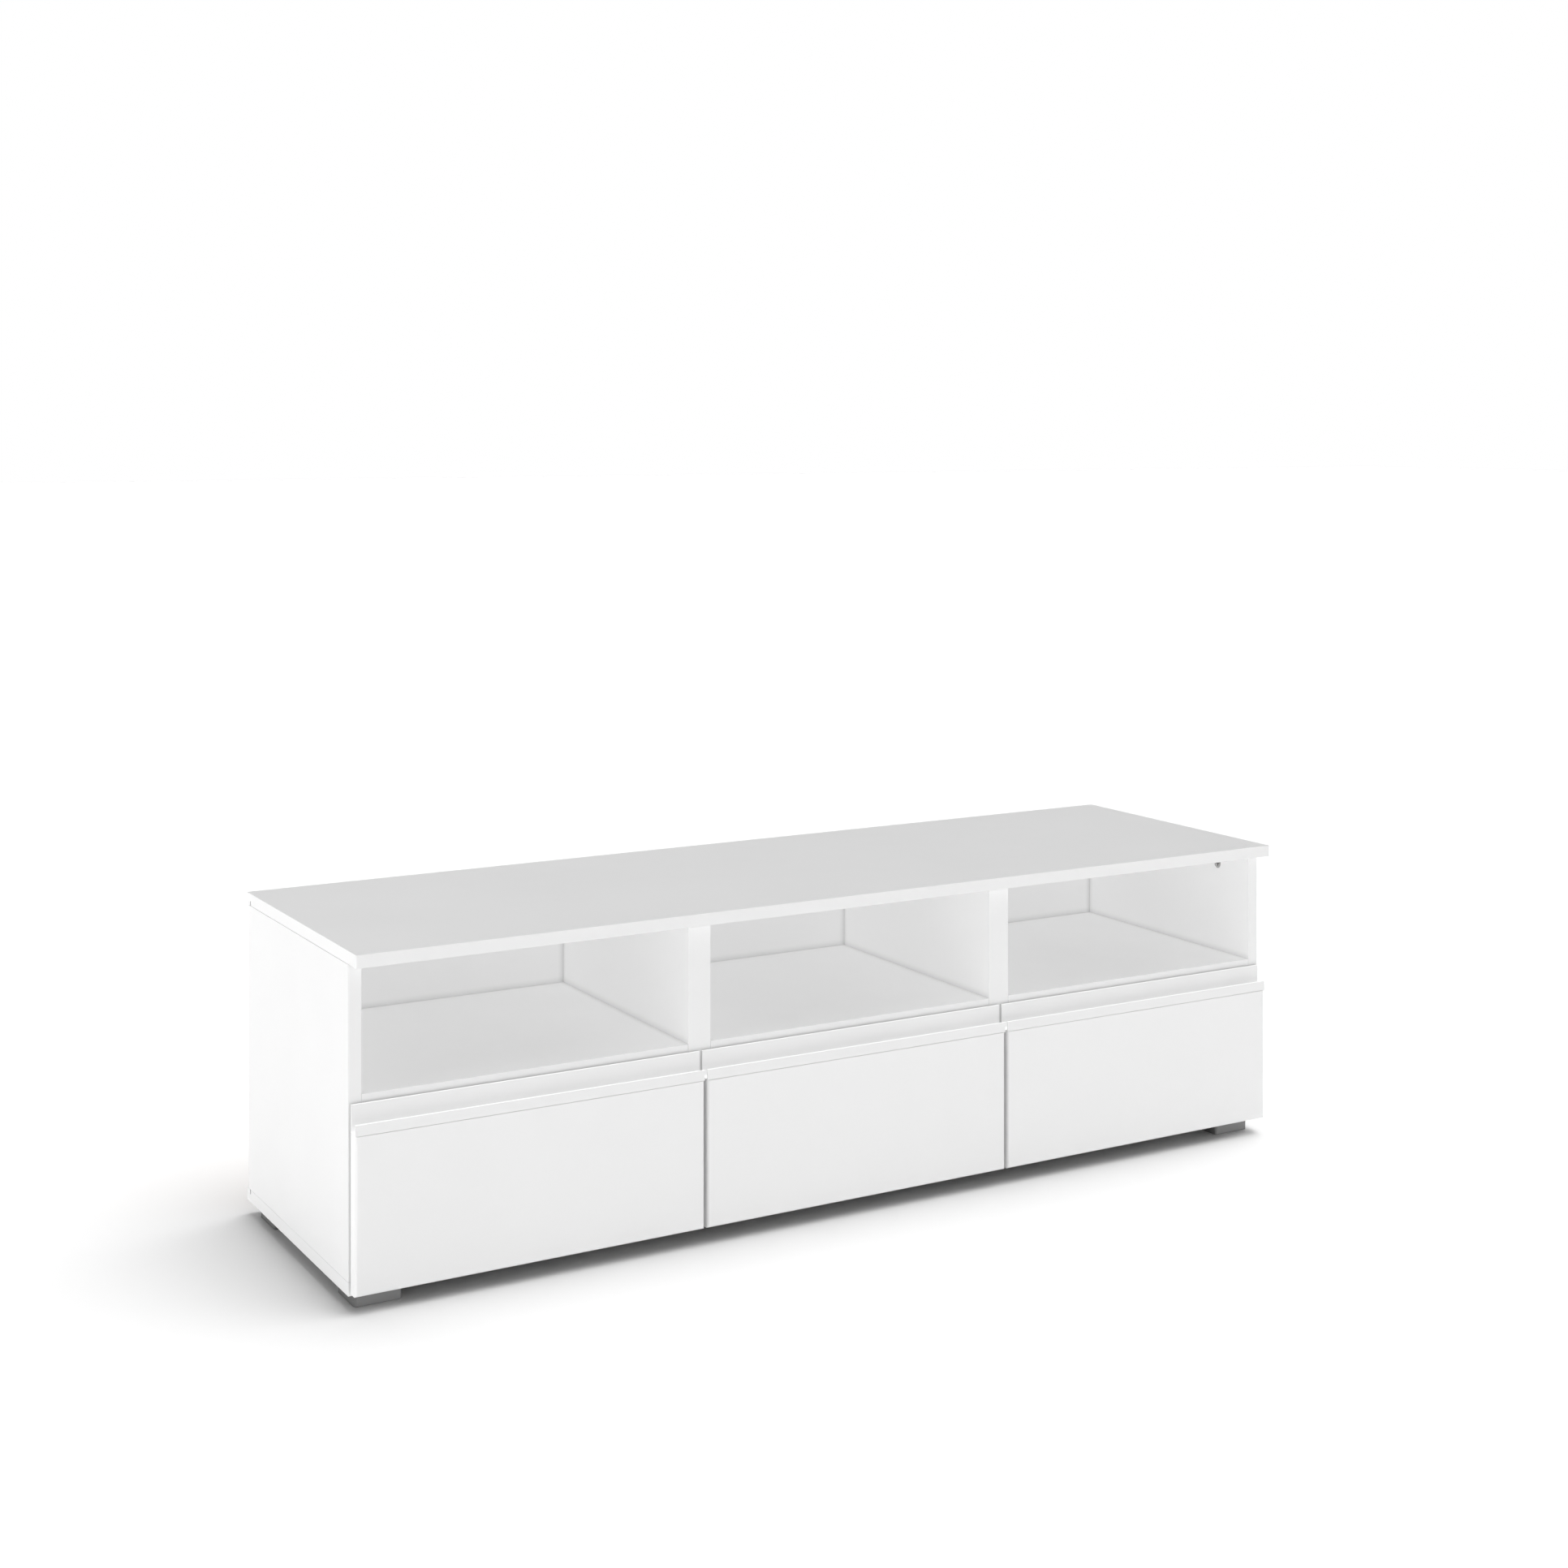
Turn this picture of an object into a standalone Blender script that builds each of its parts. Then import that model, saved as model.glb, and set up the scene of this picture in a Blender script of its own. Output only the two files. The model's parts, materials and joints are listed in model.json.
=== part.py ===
"""A low TV stand: a board carcass with three open niches over three drop-down doors.

Metres, +Z up, +Y to the rear. The origin is at the middle of the footprint, on the floor.
"""

import math

import bmesh
import bpy
from mathutils import Matrix, Vector

# Carcass ---------------------------------------------------------------------------------
WIDTH = 1.400
DEPTH = 0.423
HEIGHT = 0.425
BOARD = 0.016
DIVIDER_THICKNESS = 0.032
NICHE_HEIGHT = 0.1545
TOP_OVERHANG = 0.027  # how far the top reaches in front of the carcass
SIDE_REAR_SETBACK = 0.007  # the sides stop this far in front of the top's rear edge
BAY_NAMES = ("left", "middle", "right")

BACK_THICKNESS = 0.003
BACK_INSET = 0.013  # rear face of the back panel to the rear edge of the top
GROOVE_DEPTH = 0.006
GROOVE_CLEARANCE = 0.0003
BACK_END_PLAY = 0.0005  # from each edge of the back panel to the bottom of its groove

JOINT_GAP = 0.0003  # between two faces that touch on the real stand
BOARD_EDGE = 0.0002  # rounding of a banded board edge
TOP_EDGE = 0.0006  # rounding of the top panel's edges

# Feet ------------------------------------------------------------------------------------
FOOT_SIDE = 0.060
FOOT_HEIGHT = 0.019
FOOT_CORNER = 0.004
FOOT_SIDE_INSET = 0.0105
FOOT_FRONT_INSET = 0.010
FOOT_REAR_INSET = 0.0225

# Cam locks that pull the top onto the sides ----------------------------------------------
CAM_RADIUS = 0.0072
CAM_THICKNESS = 0.0115
CAM_RECESS = 0.0010  # from the side's face to the cam's face
CAM_CLEARANCE = 0.0003
CAM_BELOW_TOP = 0.024  # cam axis below the underside of the top
CAM_FRONT_INSET = 0.069
CAM_REAR_INSET = 0.064
CAM_SLOT_LENGTH = 0.0090
CAM_SLOT_WIDTH = 0.0020
CAM_SLOT_DEPTH = 0.0025

# Doors -----------------------------------------------------------------------------------
DOOR_THICKNESS = 0.016
DOOR_GAP = 0.0025  # carcass front to the door's rear face
DOOR_SPACING = 0.004  # between two doors
DOOR_END_INSET = 0.002  # outer doors to the outer faces of the sides
DOOR_BOTTOM_LIFT = 0.0033  # door's lower edge above the underside of the bottom panel
DOOR_EDGE_RADIUS = 0.004
SHELF_REVEAL = 0.0094  # shelf edge that shows above the grip profile

# Grip profile on the top edge of each door -----------------------------------------------
GRIP_BACK_HEIGHT = 0.0345
GRIP_LIP_HEIGHT = 0.0140
GRIP_WALL = 0.0016
GRIP_FILLET = 0.0020
TONGUE_THICKNESS = 0.0020
TONGUE_DEPTH = 0.0070
TONGUE_END_MARGIN = 0.015
TONGUE_CLEARANCE = 0.0003

# Flap hinges -----------------------------------------------------------------------------
HINGES_PER_DOOR = 2
HINGE_END_DISTANCE = 0.090  # hinge centre to the door's end
SWING_CLEARANCE = 0.0005  # door's lower rear corner to the carcass, at its closest
CUP_RADIUS = 0.0174
CUP_FRONT_SKIN = 0.0035  # door material left in front of the cup's bore
CUP_FLOOR = 0.0010
CUP_RIM_BELOW_PIVOT = 0.0040
CUP_CLEARANCE = 0.0003
CUP_SLOT_BELOW_PIVOT = 0.0028
CUP_WALL = 0.0014  # least wall round the square pocket
FLANGE_WIDTH = 0.050
FLANGE_THICKNESS = 0.0012
FLANGE_LOW = -0.0030  # from the pivot
FLANGE_HIGH = 0.0200
PIN_RADIUS = 0.00125
PIN_CLEARANCE = 0.00015
PIN_LENGTH = 0.0150
EYE_RADIUS = 0.0023
EYE_CLEARANCE = 0.0006
ARM_WIDTH = 0.0070
ARM_SIDE_CLEARANCE = 0.0005
ARM_STRAP = 0.0030
ARM_RISE = 0.0140  # top of the arm above the pivot
ARM_PLATE_SETBACK = 0.0040  # plate's front end behind the carcass front
ARM_PLATE_LENGTH = 0.042
ARM_PLATE_WIDTH = 0.028
ARM_PLATE_THICKNESS = 0.0025
ARM_EMBED = 0.0010  # how deep the strap runs into its plate

# Braking stay, one at the right end of each door -----------------------------------------
STAY_WALL_DISTANCE = 0.0123  # rod axis to the wall of the compartment
STAY_BRACKET_DROP = 0.044  # rod's front pivot below the top of the door panel
STAY_STANDOFF = 0.0085  # rod's front pivot behind the door's rear face
ROD_SLOPE = math.radians(23.95)  # how steeply the closed rod falls to the rear
DOOR_OPENING = math.radians(90)
ROD_RADIUS = 0.0027
ROD_EYE_RADIUS = 0.0050
ROD_EYE_WIDTH = 0.0050
STAY_PIN_RADIUS = 0.0020
STAY_CLEARANCE = 0.0003
COLLAR_RADIUS = 0.0048
COLLAR_LENGTH = 0.0050
COLLAR_PLAY = 0.0020  # collar to housing when the door is fully open
HOUSING_LENGTH = 0.026
HOUSING_HEIGHT = 0.016
HOUSING_THICKNESS = 0.014
HOUSING_EDGE = 0.0015
STUD_RADIUS = 0.0030
STUD_LENGTH = 0.0047
STAY_PLATE_THICKNESS = 0.0030
STAY_PLATE_LENGTH = 0.040
STAY_PLATE_HEIGHT = 0.030
BRACKET_THICKNESS = 0.0020
BRACKET_HEIGHT = 0.020
BRACKET_LENGTH = 0.026
LUG_THICKNESS = 0.0030
LUG_HEIGHT = 0.0090

# Magnetic catch, one at the left end of each door ----------------------------------------
CATCH_WIDTH = 0.014
CATCH_DEPTH = 0.016
CATCH_HEIGHT = 0.040
CATCH_DROP = 0.046  # catch centre below the top of the door panel
CATCH_GAP = 0.0005
STRIKE_WIDTH = 0.012
STRIKE_HEIGHT = 0.036
STRIKE_THICKNESS = 0.0012

# Fineness of round shapes ----------------------------------------------------------------
CUP_SIDES = 40
ROUND_SIDES = 20
ARC_STEPS = 4
CUT_EXTRA = 0.005  # how far a cutter stands clear of the face that it opens

# Places worked out from the sizes --------------------------------------------------------
TOP_FRONT = -DEPTH / 2
REAR = DEPTH / 2
FRONT = TOP_FRONT + TOP_OVERHANG
SIDE_REAR = REAR - SIDE_REAR_SETBACK
BACK_REAR = REAR - BACK_INSET
BACK_FRONT = BACK_REAR - BACK_THICKNESS
BOTTOM_TOP = FOOT_HEIGHT + BOARD
TOP_UNDER = HEIGHT - BOARD
SHELF_TOP = TOP_UNDER - NICHE_HEIGHT
SHELF_UNDER = SHELF_TOP - BOARD
INNER_HALF = WIDTH / 2 - BOARD
DIVIDERS = len(BAY_NAMES) - 1
BAY_WIDTH = (2 * INNER_HALF - DIVIDERS * DIVIDER_THICKNESS) / len(BAY_NAMES)
BAY_PITCH = BAY_WIDTH + DIVIDER_THICKNESS

DOORS_WIDTH = WIDTH - 2 * DOOR_END_INSET
DOOR_WIDTH = (DOORS_WIDTH - DIVIDERS * DOOR_SPACING) / len(BAY_NAMES)
DOOR_PITCH = DOOR_WIDTH + DOOR_SPACING
DOOR_REAR = FRONT - DOOR_GAP
DOOR_FRONT = DOOR_REAR - DOOR_THICKNESS
DOOR_BOTTOM = FOOT_HEIGHT + DOOR_BOTTOM_LIFT
GRIP_TOP = SHELF_TOP - SHELF_REVEAL
GRIP_BOTTOM = GRIP_TOP - GRIP_BACK_HEIGHT
PANEL_TOP = GRIP_BOTTOM - JOINT_GAP

CUP_DEPTH = DOOR_THICKNESS - CUP_FRONT_SKIN
PIVOT_DEPTH = CUP_DEPTH - CUP_CLEARANCE - CUP_FLOOR - EYE_CLEARANCE - EYE_RADIUS
# As high as the door's lower rear corner can swing past the carcass.
PIVOT_HEIGHT = math.sqrt((PIVOT_DEPTH + DOOR_GAP - SWING_CLEARANCE) ** 2 - PIVOT_DEPTH**2)
PIVOT_Y = DOOR_REAR - PIVOT_DEPTH
PIVOT_Z = DOOR_BOTTOM + PIVOT_HEIGHT

# Both stay pivots lie on one circle round the hinge, so the rod turns by half the door's angle.
STAY_FRONT_Y = DOOR_REAR + STAY_STANDOFF
STAY_FRONT_Z = PANEL_TOP - STAY_BRACKET_DROP
STAY_RADIUS = math.hypot(STAY_FRONT_Y - PIVOT_Y, STAY_FRONT_Z - PIVOT_Z)
STAY_LEAN = math.atan2(STAY_FRONT_Y - PIVOT_Y, STAY_FRONT_Z - PIVOT_Z)
STAY_SPREAD = 2 * (ROD_SLOPE - STAY_LEAN)  # closed angle between the two pivots, from the hinge
STAY_REAR_Y = PIVOT_Y + STAY_RADIUS * math.sin(STAY_LEAN + STAY_SPREAD)
STAY_REAR_Z = PIVOT_Z + STAY_RADIUS * math.cos(STAY_LEAN + STAY_SPREAD)
ROD_ANGLE = math.atan2(STAY_REAR_Z - STAY_FRONT_Z, STAY_REAR_Y - STAY_FRONT_Y)
OPEN_SPAN = 2 * STAY_RADIUS * math.sin((STAY_SPREAD + DOOR_OPENING) / 2)
COLLAR_START = OPEN_SPAN + HOUSING_LENGTH / 2 + COLLAR_PLAY
ROD_LENGTH = COLLAR_START + COLLAR_LENGTH


# Scene and materials ---------------------------------------------------------------------
def clear_scene():
    for obj in list(bpy.data.objects):
        bpy.data.objects.remove(obj, do_unlink=True)


def new_collection(name):
    collection = bpy.data.collections.new(name)
    bpy.context.scene.collection.children.link(collection)
    return collection


def new_material(name, colour, roughness, metallic=0.0):
    material = bpy.data.materials.new(name)
    material.use_nodes = True
    shader = material.node_tree.nodes["Principled BSDF"]
    shader.inputs["Base Color"].default_value = (*colour, 1.0)
    shader.inputs["Roughness"].default_value = roughness
    shader.inputs["Metallic"].default_value = metallic
    material.diffuse_color = (*colour, 1.0)
    return material


clear_scene()
PARTS = new_collection("tv_stand_with_doors")
CUTTERS = new_collection("cutters")

BOARD_WHITE = new_material("white_melamine", (0.80, 0.80, 0.80), 0.45)
BACK_WHITE = new_material("white_hardboard", (0.76, 0.76, 0.76), 0.55)
DOOR_WHITE = new_material("white_foil", (0.82, 0.82, 0.82), 0.35)
GRIP_WHITE = new_material("white_plastic_profile", (0.83, 0.83, 0.83), 0.30)
FOOT_GREY = new_material("grey_plastic_foot", (0.20, 0.20, 0.20), 0.50)
ZINC = new_material("zinc_casting", (0.55, 0.55, 0.56), 0.38, 1.0)
STEEL = new_material("plated_steel", (0.62, 0.62, 0.63), 0.25, 1.0)
STAY_PLASTIC = new_material("white_stay_plastic", (0.72, 0.72, 0.71), 0.45)


# Shape helpers ---------------------------------------------------------------------------
def world_place(obj):
    """Where an unrotated object's origin is in the world, or the origin for None."""
    place = Vector((0.0, 0.0, 0.0))
    while obj:
        place += obj.location
        obj = obj.parent
    return place


def add_object(name, mesh, place, material=None, parent=None):
    """Adds a piece, or a cutter when it has no material."""
    obj = bpy.data.objects.new(name, mesh)
    obj.parent = parent
    obj.location = Vector(place) - world_place(parent)
    if material:
        PARTS.objects.link(obj)
        mesh.materials.append(material)
    else:
        CUTTERS.objects.link(obj)
        obj.hide_render = True
        obj.display_type = "WIRE"
    return obj


def add_axis(name, place, parent=None):
    """An empty on a joint's axis, which carries what turns about it."""
    empty = bpy.data.objects.new(name, None)
    PARTS.objects.link(empty)
    empty.empty_display_size = 0.02
    empty.parent = parent
    empty.location = Vector(place) - world_place(parent)
    return empty


def box(name, low, high, material=None, parent=None):
    """A box between two world corners, with its origin at its middle."""
    low, high = Vector(low), Vector(high)
    shape = bmesh.new()
    bmesh.ops.create_cube(shape, size=1.0, matrix=Matrix.Diagonal((*(high - low), 1.0)))
    mesh = bpy.data.meshes.new(name)
    shape.to_mesh(mesh)
    shape.free()
    return add_object(name, mesh, (low + high) / 2, material, parent)


def cylinder(name, centre, axis, radius, length, material=None, parent=None, sides=ROUND_SIDES):
    """A solid cylinder about a world axis, with its origin at its middle."""
    turn = Vector((0.0, 0.0, 1.0)).rotation_difference(Vector(axis)).to_matrix().to_4x4()
    shape = bmesh.new()
    bmesh.ops.create_cone(
        shape, cap_ends=True, segments=sides, radius1=radius, radius2=radius, depth=length, matrix=turn
    )
    mesh = bpy.data.meshes.new(name)
    shape.to_mesh(mesh)
    shape.free()
    smooth(mesh)
    return add_object(name, mesh, centre, material, parent)


def extrusion(name, outline, origin, width, material=None, parent=None):
    """An outline of (y, z) points from the origin, extruded by the width along X."""
    curve = bpy.data.curves.new(name + "_outline", "CURVE")
    curve.dimensions = "2D"
    curve.fill_mode = "BOTH"
    curve.extrude = width / 2
    spline = curve.splines.new("POLY")
    spline.points.add(len(outline) - 1)
    for point, (y, z) in zip(spline.points, outline):
        point.co = (y, z, 0.0, 1.0)
    spline.use_cyclic_u = True
    guide = bpy.data.objects.new(name + "_outline", curve)
    CUTTERS.objects.link(guide)
    bpy.context.view_layer.update()
    mesh = bpy.data.meshes.new_from_object(guide.evaluated_get(bpy.context.evaluated_depsgraph_get()))
    mesh.name = name
    bpy.data.objects.remove(guide)

    shape = bmesh.new()
    shape.from_mesh(mesh)
    bmesh.ops.remove_doubles(shape, verts=shape.verts, dist=1e-6)
    # The curve's X, Y and Z become the world's Y, Z and X.
    shape.transform(Matrix(((0, 0, 1, 0), (1, 0, 0, 0), (0, 1, 0, 0), (0, 0, 0, 1))))
    bmesh.ops.recalc_face_normals(shape, faces=shape.faces)
    shape.to_mesh(mesh)
    shape.free()
    smooth(mesh)
    mesh.materials.clear()
    return add_object(name, mesh, origin, material, parent)


def smooth(mesh):
    mesh.shade_smooth()
    mesh.set_sharp_from_angle(angle=math.radians(35))


def arc(centre_y, centre_z, radius, start, end, steps=ARC_STEPS):
    """Points of an arc, from one angle to another in degrees."""
    angles = (math.radians(start + (end - start) * step / steps) for step in range(steps + 1))
    return [(centre_y + radius * math.cos(a), centre_z + radius * math.sin(a)) for a in angles]


def combine(obj, other, operation):
    modifier = obj.modifiers.new(operation.title(), "BOOLEAN")
    modifier.operation = operation
    modifier.object = other


def cut(obj, *cutters):
    for cutter in cutters:
        combine(obj, cutter, "DIFFERENCE")


def weld(obj, *others):
    for other in others:
        combine(obj, other, "UNION")


def turn_about_x(obj, angle):
    """Turns the mesh about its own origin, so that the object itself stays unrotated."""
    obj.data.transform(Matrix.Rotation(angle, 4, "X"))


def round_edges(obj, width, segments=2, chosen=None):
    """Rounds all edges, or those whose two ends both satisfy the test."""
    modifier = obj.modifiers.new("Rounding", "BEVEL")
    modifier.width = width
    modifier.segments = segments
    if chosen is None:
        modifier.limit_method = "NONE"
        return
    modifier.limit_method = "WEIGHT"
    weights = obj.data.attributes.new("bevel_weight_edge", "FLOAT", "EDGE")
    points = obj.data.vertices
    for edge in obj.data.edges:
        ends = [points[index].co for index in edge.vertices]
        weights.data[edge.index].value = float(chosen(*ends))


def on_front(start, end):
    return start.y < 0 and end.y < 0


def upright(start, end):
    return abs(start.z - end.z) > abs(start.x - end.x) + abs(start.y - end.y)


# Carcass ---------------------------------------------------------------------------------
def groove_cutter(name, low, high):
    """A cutter for the back panel's groove, which takes the panel's place in Y."""
    return box(
        name,
        (low[0], BACK_FRONT - GROOVE_CLEARANCE, low[1]),
        (high[0], BACK_REAR + GROOVE_CLEARANCE, high[1]),
    )


def build_top_and_bottom():
    past_end = WIDTH / 2 + CUT_EXTRA
    top = box("top_panel", (-WIDTH / 2, TOP_FRONT, TOP_UNDER), (WIDTH / 2, REAR, HEIGHT), BOARD_WHITE)
    round_edges(top, TOP_EDGE)
    cut(
        top,
        groove_cutter("top_groove", (-past_end, TOP_UNDER - CUT_EXTRA), (past_end, TOP_UNDER + GROOVE_DEPTH)),
    )
    bottom = box("bottom_panel", (-WIDTH / 2, FRONT, FOOT_HEIGHT), (WIDTH / 2, REAR, BOTTOM_TOP), BOARD_WHITE)
    round_edges(bottom, BOARD_EDGE, chosen=on_front)
    cut(
        bottom,
        groove_cutter(
            "bottom_groove", (-past_end, BOTTOM_TOP - GROOVE_DEPTH), (past_end, BOTTOM_TOP + CUT_EXTRA)
        ),
    )


def build_side(name, side):
    """A side panel at x < 0 (side -1) or x > 0 (side +1), with its groove and its cam locks."""
    outer, inner = side * WIDTH / 2, side * INNER_HALF
    low_z, high_z = BOTTOM_TOP + JOINT_GAP, TOP_UNDER - JOINT_GAP
    panel = box(
        f"{name}_side_panel",
        (min(outer, inner), FRONT, low_z),
        (max(outer, inner), SIDE_REAR, high_z),
        BOARD_WHITE,
    )
    round_edges(panel, BOARD_EDGE, chosen=on_front)
    groove = sorted((inner - side * CUT_EXTRA, inner + side * GROOVE_DEPTH))
    cut(
        panel,
        groove_cutter(f"{name}_side_groove", (groove[0], low_z - CUT_EXTRA), (groove[1], high_z + CUT_EXTRA)),
    )
    for place, y in (("front", FRONT + CAM_FRONT_INSET), ("rear", SIDE_REAR - CAM_REAR_INSET)):
        build_cam(panel, f"{name}_{place}_cam", side, y)


def build_cam(panel, name, side, y):
    """A cam in its bore in the panel's inner face, with a cross slot for the screwdriver."""
    inner, z = side * INNER_HALF, TOP_UNDER - CAM_BELOW_TOP
    face = inner + side * CAM_RECESS
    bore_depth = CAM_RECESS + CAM_THICKNESS + CAM_CLEARANCE
    bore = cylinder(
        name + "_bore",
        (inner + side * (bore_depth - CUT_EXTRA) / 2, y, z),
        (1, 0, 0),
        CAM_RADIUS + CAM_CLEARANCE,
        bore_depth + CUT_EXTRA,
        sides=CUP_SIDES,
    )
    cut(panel, bore)
    middle = face + side * CAM_THICKNESS / 2
    cam = cylinder(name, (middle, y, z), (1, 0, 0), CAM_RADIUS, CAM_THICKNESS, ZINC, sides=CUP_SIDES)
    slot_ends = sorted((face - side * CUT_EXTRA, face + side * CAM_SLOT_DEPTH))
    long, narrow = CAM_SLOT_LENGTH / 2, CAM_SLOT_WIDTH / 2
    for label, half_y, half_z in (("level", long, narrow), ("upright", narrow, long)):
        low = (slot_ends[0], y - half_y, z - half_z)
        cut(cam, box(f"{name}_{label}_slot", low, (slot_ends[1], y + half_y, z + half_z)))


def build_dividers_and_shelves():
    rear = BACK_FRONT - JOINT_GAP
    for index in range(DIVIDERS):
        x = (index - (DIVIDERS - 1) / 2) * BAY_PITCH
        divider = box(
            f"divider_{index + 1}",
            (x - DIVIDER_THICKNESS / 2, FRONT, BOTTOM_TOP + JOINT_GAP),
            (x + DIVIDER_THICKNESS / 2, rear, TOP_UNDER - JOINT_GAP),
            BOARD_WHITE,
        )
        round_edges(divider, BOARD_EDGE, chosen=on_front)
    for index, name in enumerate(BAY_NAMES):
        x, half = bay_centre(index), BAY_WIDTH / 2 - JOINT_GAP
        shelf = box(f"{name}_shelf", (x - half, FRONT, SHELF_UNDER), (x + half, rear, SHELF_TOP), BOARD_WHITE)
        round_edges(shelf, BOARD_EDGE, chosen=on_front)


def build_back():
    half = INNER_HALF + GROOVE_DEPTH - BACK_END_PLAY
    box(
        "back_panel",
        (-half, BACK_FRONT, BOTTOM_TOP - GROOVE_DEPTH + BACK_END_PLAY),
        (half, BACK_REAR, TOP_UNDER + GROOVE_DEPTH - BACK_END_PLAY),
        BACK_WHITE,
    )


def build_feet():
    half = FOOT_SIDE / 2
    x_away = WIDTH / 2 - FOOT_SIDE_INSET - half
    rows = (("front", FRONT + FOOT_FRONT_INSET + half), ("rear", REAR - FOOT_REAR_INSET - half))
    for row, y in rows:
        for end, x in (("left", -x_away), ("right", x_away)):
            foot = box(
                f"{row}_{end}_foot",
                (x - half, y - half, 0.0),
                (x + half, y + half, FOOT_HEIGHT - JOINT_GAP),
                FOOT_GREY,
            )
            round_edges(foot, FOOT_CORNER, segments=4, chosen=upright)


# Doors -----------------------------------------------------------------------------------
def bay_centre(index):
    return (index - (len(BAY_NAMES) - 1) / 2) * BAY_PITCH


def door_centre(index):
    return (index - (len(BAY_NAMES) - 1) / 2) * DOOR_PITCH


def build_door(index, name):
    x = door_centre(index)
    axis = add_axis(f"{name}_door_axis", (x, PIVOT_Y, PIVOT_Z))
    half = DOOR_WIDTH / 2
    panel = box(
        f"{name}_door_panel",
        (x - half, DOOR_FRONT, DOOR_BOTTOM),
        (x + half, DOOR_REAR, PANEL_TOP),
        DOOR_WHITE,
        axis,
    )
    round_edges(
        panel,
        min(DOOR_EDGE_RADIUS, DOOR_THICKNESS / 3),
        segments=ARC_STEPS,
        chosen=lambda start, end: on_front(start, end) and not (start.z > 0 and end.z > 0),
    )
    build_grip(panel, name, x, axis)
    reach = half - HINGE_END_DISTANCE
    for number in range(HINGES_PER_DOOR):
        hinge_x = x + reach * (2 * number / (HINGES_PER_DOOR - 1) - 1)
        build_hinge(panel, f"{name}_hinge", number + 1, hinge_x, axis)
    build_stay(name, bay_centre(index) + BAY_WIDTH / 2, axis)
    build_catch(name, bay_centre(index) - BAY_WIDTH / 2, axis)


def grip_outline():
    """The section of the grip, from the door's lower rear corner of the profile: y to the rear."""
    wall, fillet, tip = GRIP_WALL, GRIP_FILLET, GRIP_WALL / 2
    front, lip, back = -DOOR_THICKNESS, GRIP_LIP_HEIGHT, GRIP_BACK_HEIGHT
    return [
        (front, 0.0),
        (0.0, 0.0),
        *arc(-tip, back - tip, tip, 0, 180),
        *arc(-wall - fillet, wall + fillet, fillet, 0, -90),
        *arc(front + wall + fillet, wall + fillet, fillet, -90, -180),
        *arc(front + tip, lip - tip, tip, 0, 180),
    ]


def build_grip(panel, name, x, axis):
    """The profile, whose tongue sits in a stopped groove in the door's top edge."""
    grip = extrusion(
        f"{name}_door_grip", grip_outline(), (x, DOOR_REAR, GRIP_BOTTOM), DOOR_WIDTH, GRIP_WHITE, axis
    )
    middle = (DOOR_FRONT + DOOR_REAR) / 2
    half_x, half_y = DOOR_WIDTH / 2 - TONGUE_END_MARGIN, TONGUE_THICKNESS / 2
    tongue_low = GRIP_BOTTOM - TONGUE_DEPTH
    tongue = box(
        f"{name}_grip_tongue",
        (x - half_x, middle - half_y, tongue_low),
        (x + half_x, middle + half_y, GRIP_BOTTOM + GRIP_WALL / 2),
        parent=axis,
    )
    weld(grip, tongue)
    half_x, half_y = half_x + TONGUE_CLEARANCE, half_y + TONGUE_CLEARANCE
    groove = box(
        f"{name}_grip_groove",
        (x - half_x, middle - half_y, tongue_low - TONGUE_CLEARANCE),
        (x + half_x, middle + half_y, PANEL_TOP + CUT_EXTRA),
        parent=axis,
    )
    cut(panel, groove)


# Flap hinge ------------------------------------------------------------------------------
def build_hinge(panel, name, number, x, axis):
    build_cup(panel, f"{name}_cup_{number}", x, axis)
    cylinder(
        f"{name}_pin_{number}", (x, PIVOT_Y, PIVOT_Z), (1, 0, 0), PIN_RADIUS, PIN_LENGTH, STEEL, axis
    )
    build_arm(f"{name}_arm_{number}", x)


def pin_bore(name, x, parent=None):
    """The cutter for a bore that the hinge pin turns in."""
    radius, length = PIN_RADIUS + PIN_CLEARANCE, PIN_LENGTH + 2 * PIN_CLEARANCE
    return cylinder(name, (x, PIVOT_Y, PIVOT_Z), (1, 0, 0), radius, length, parent=parent)


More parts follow.
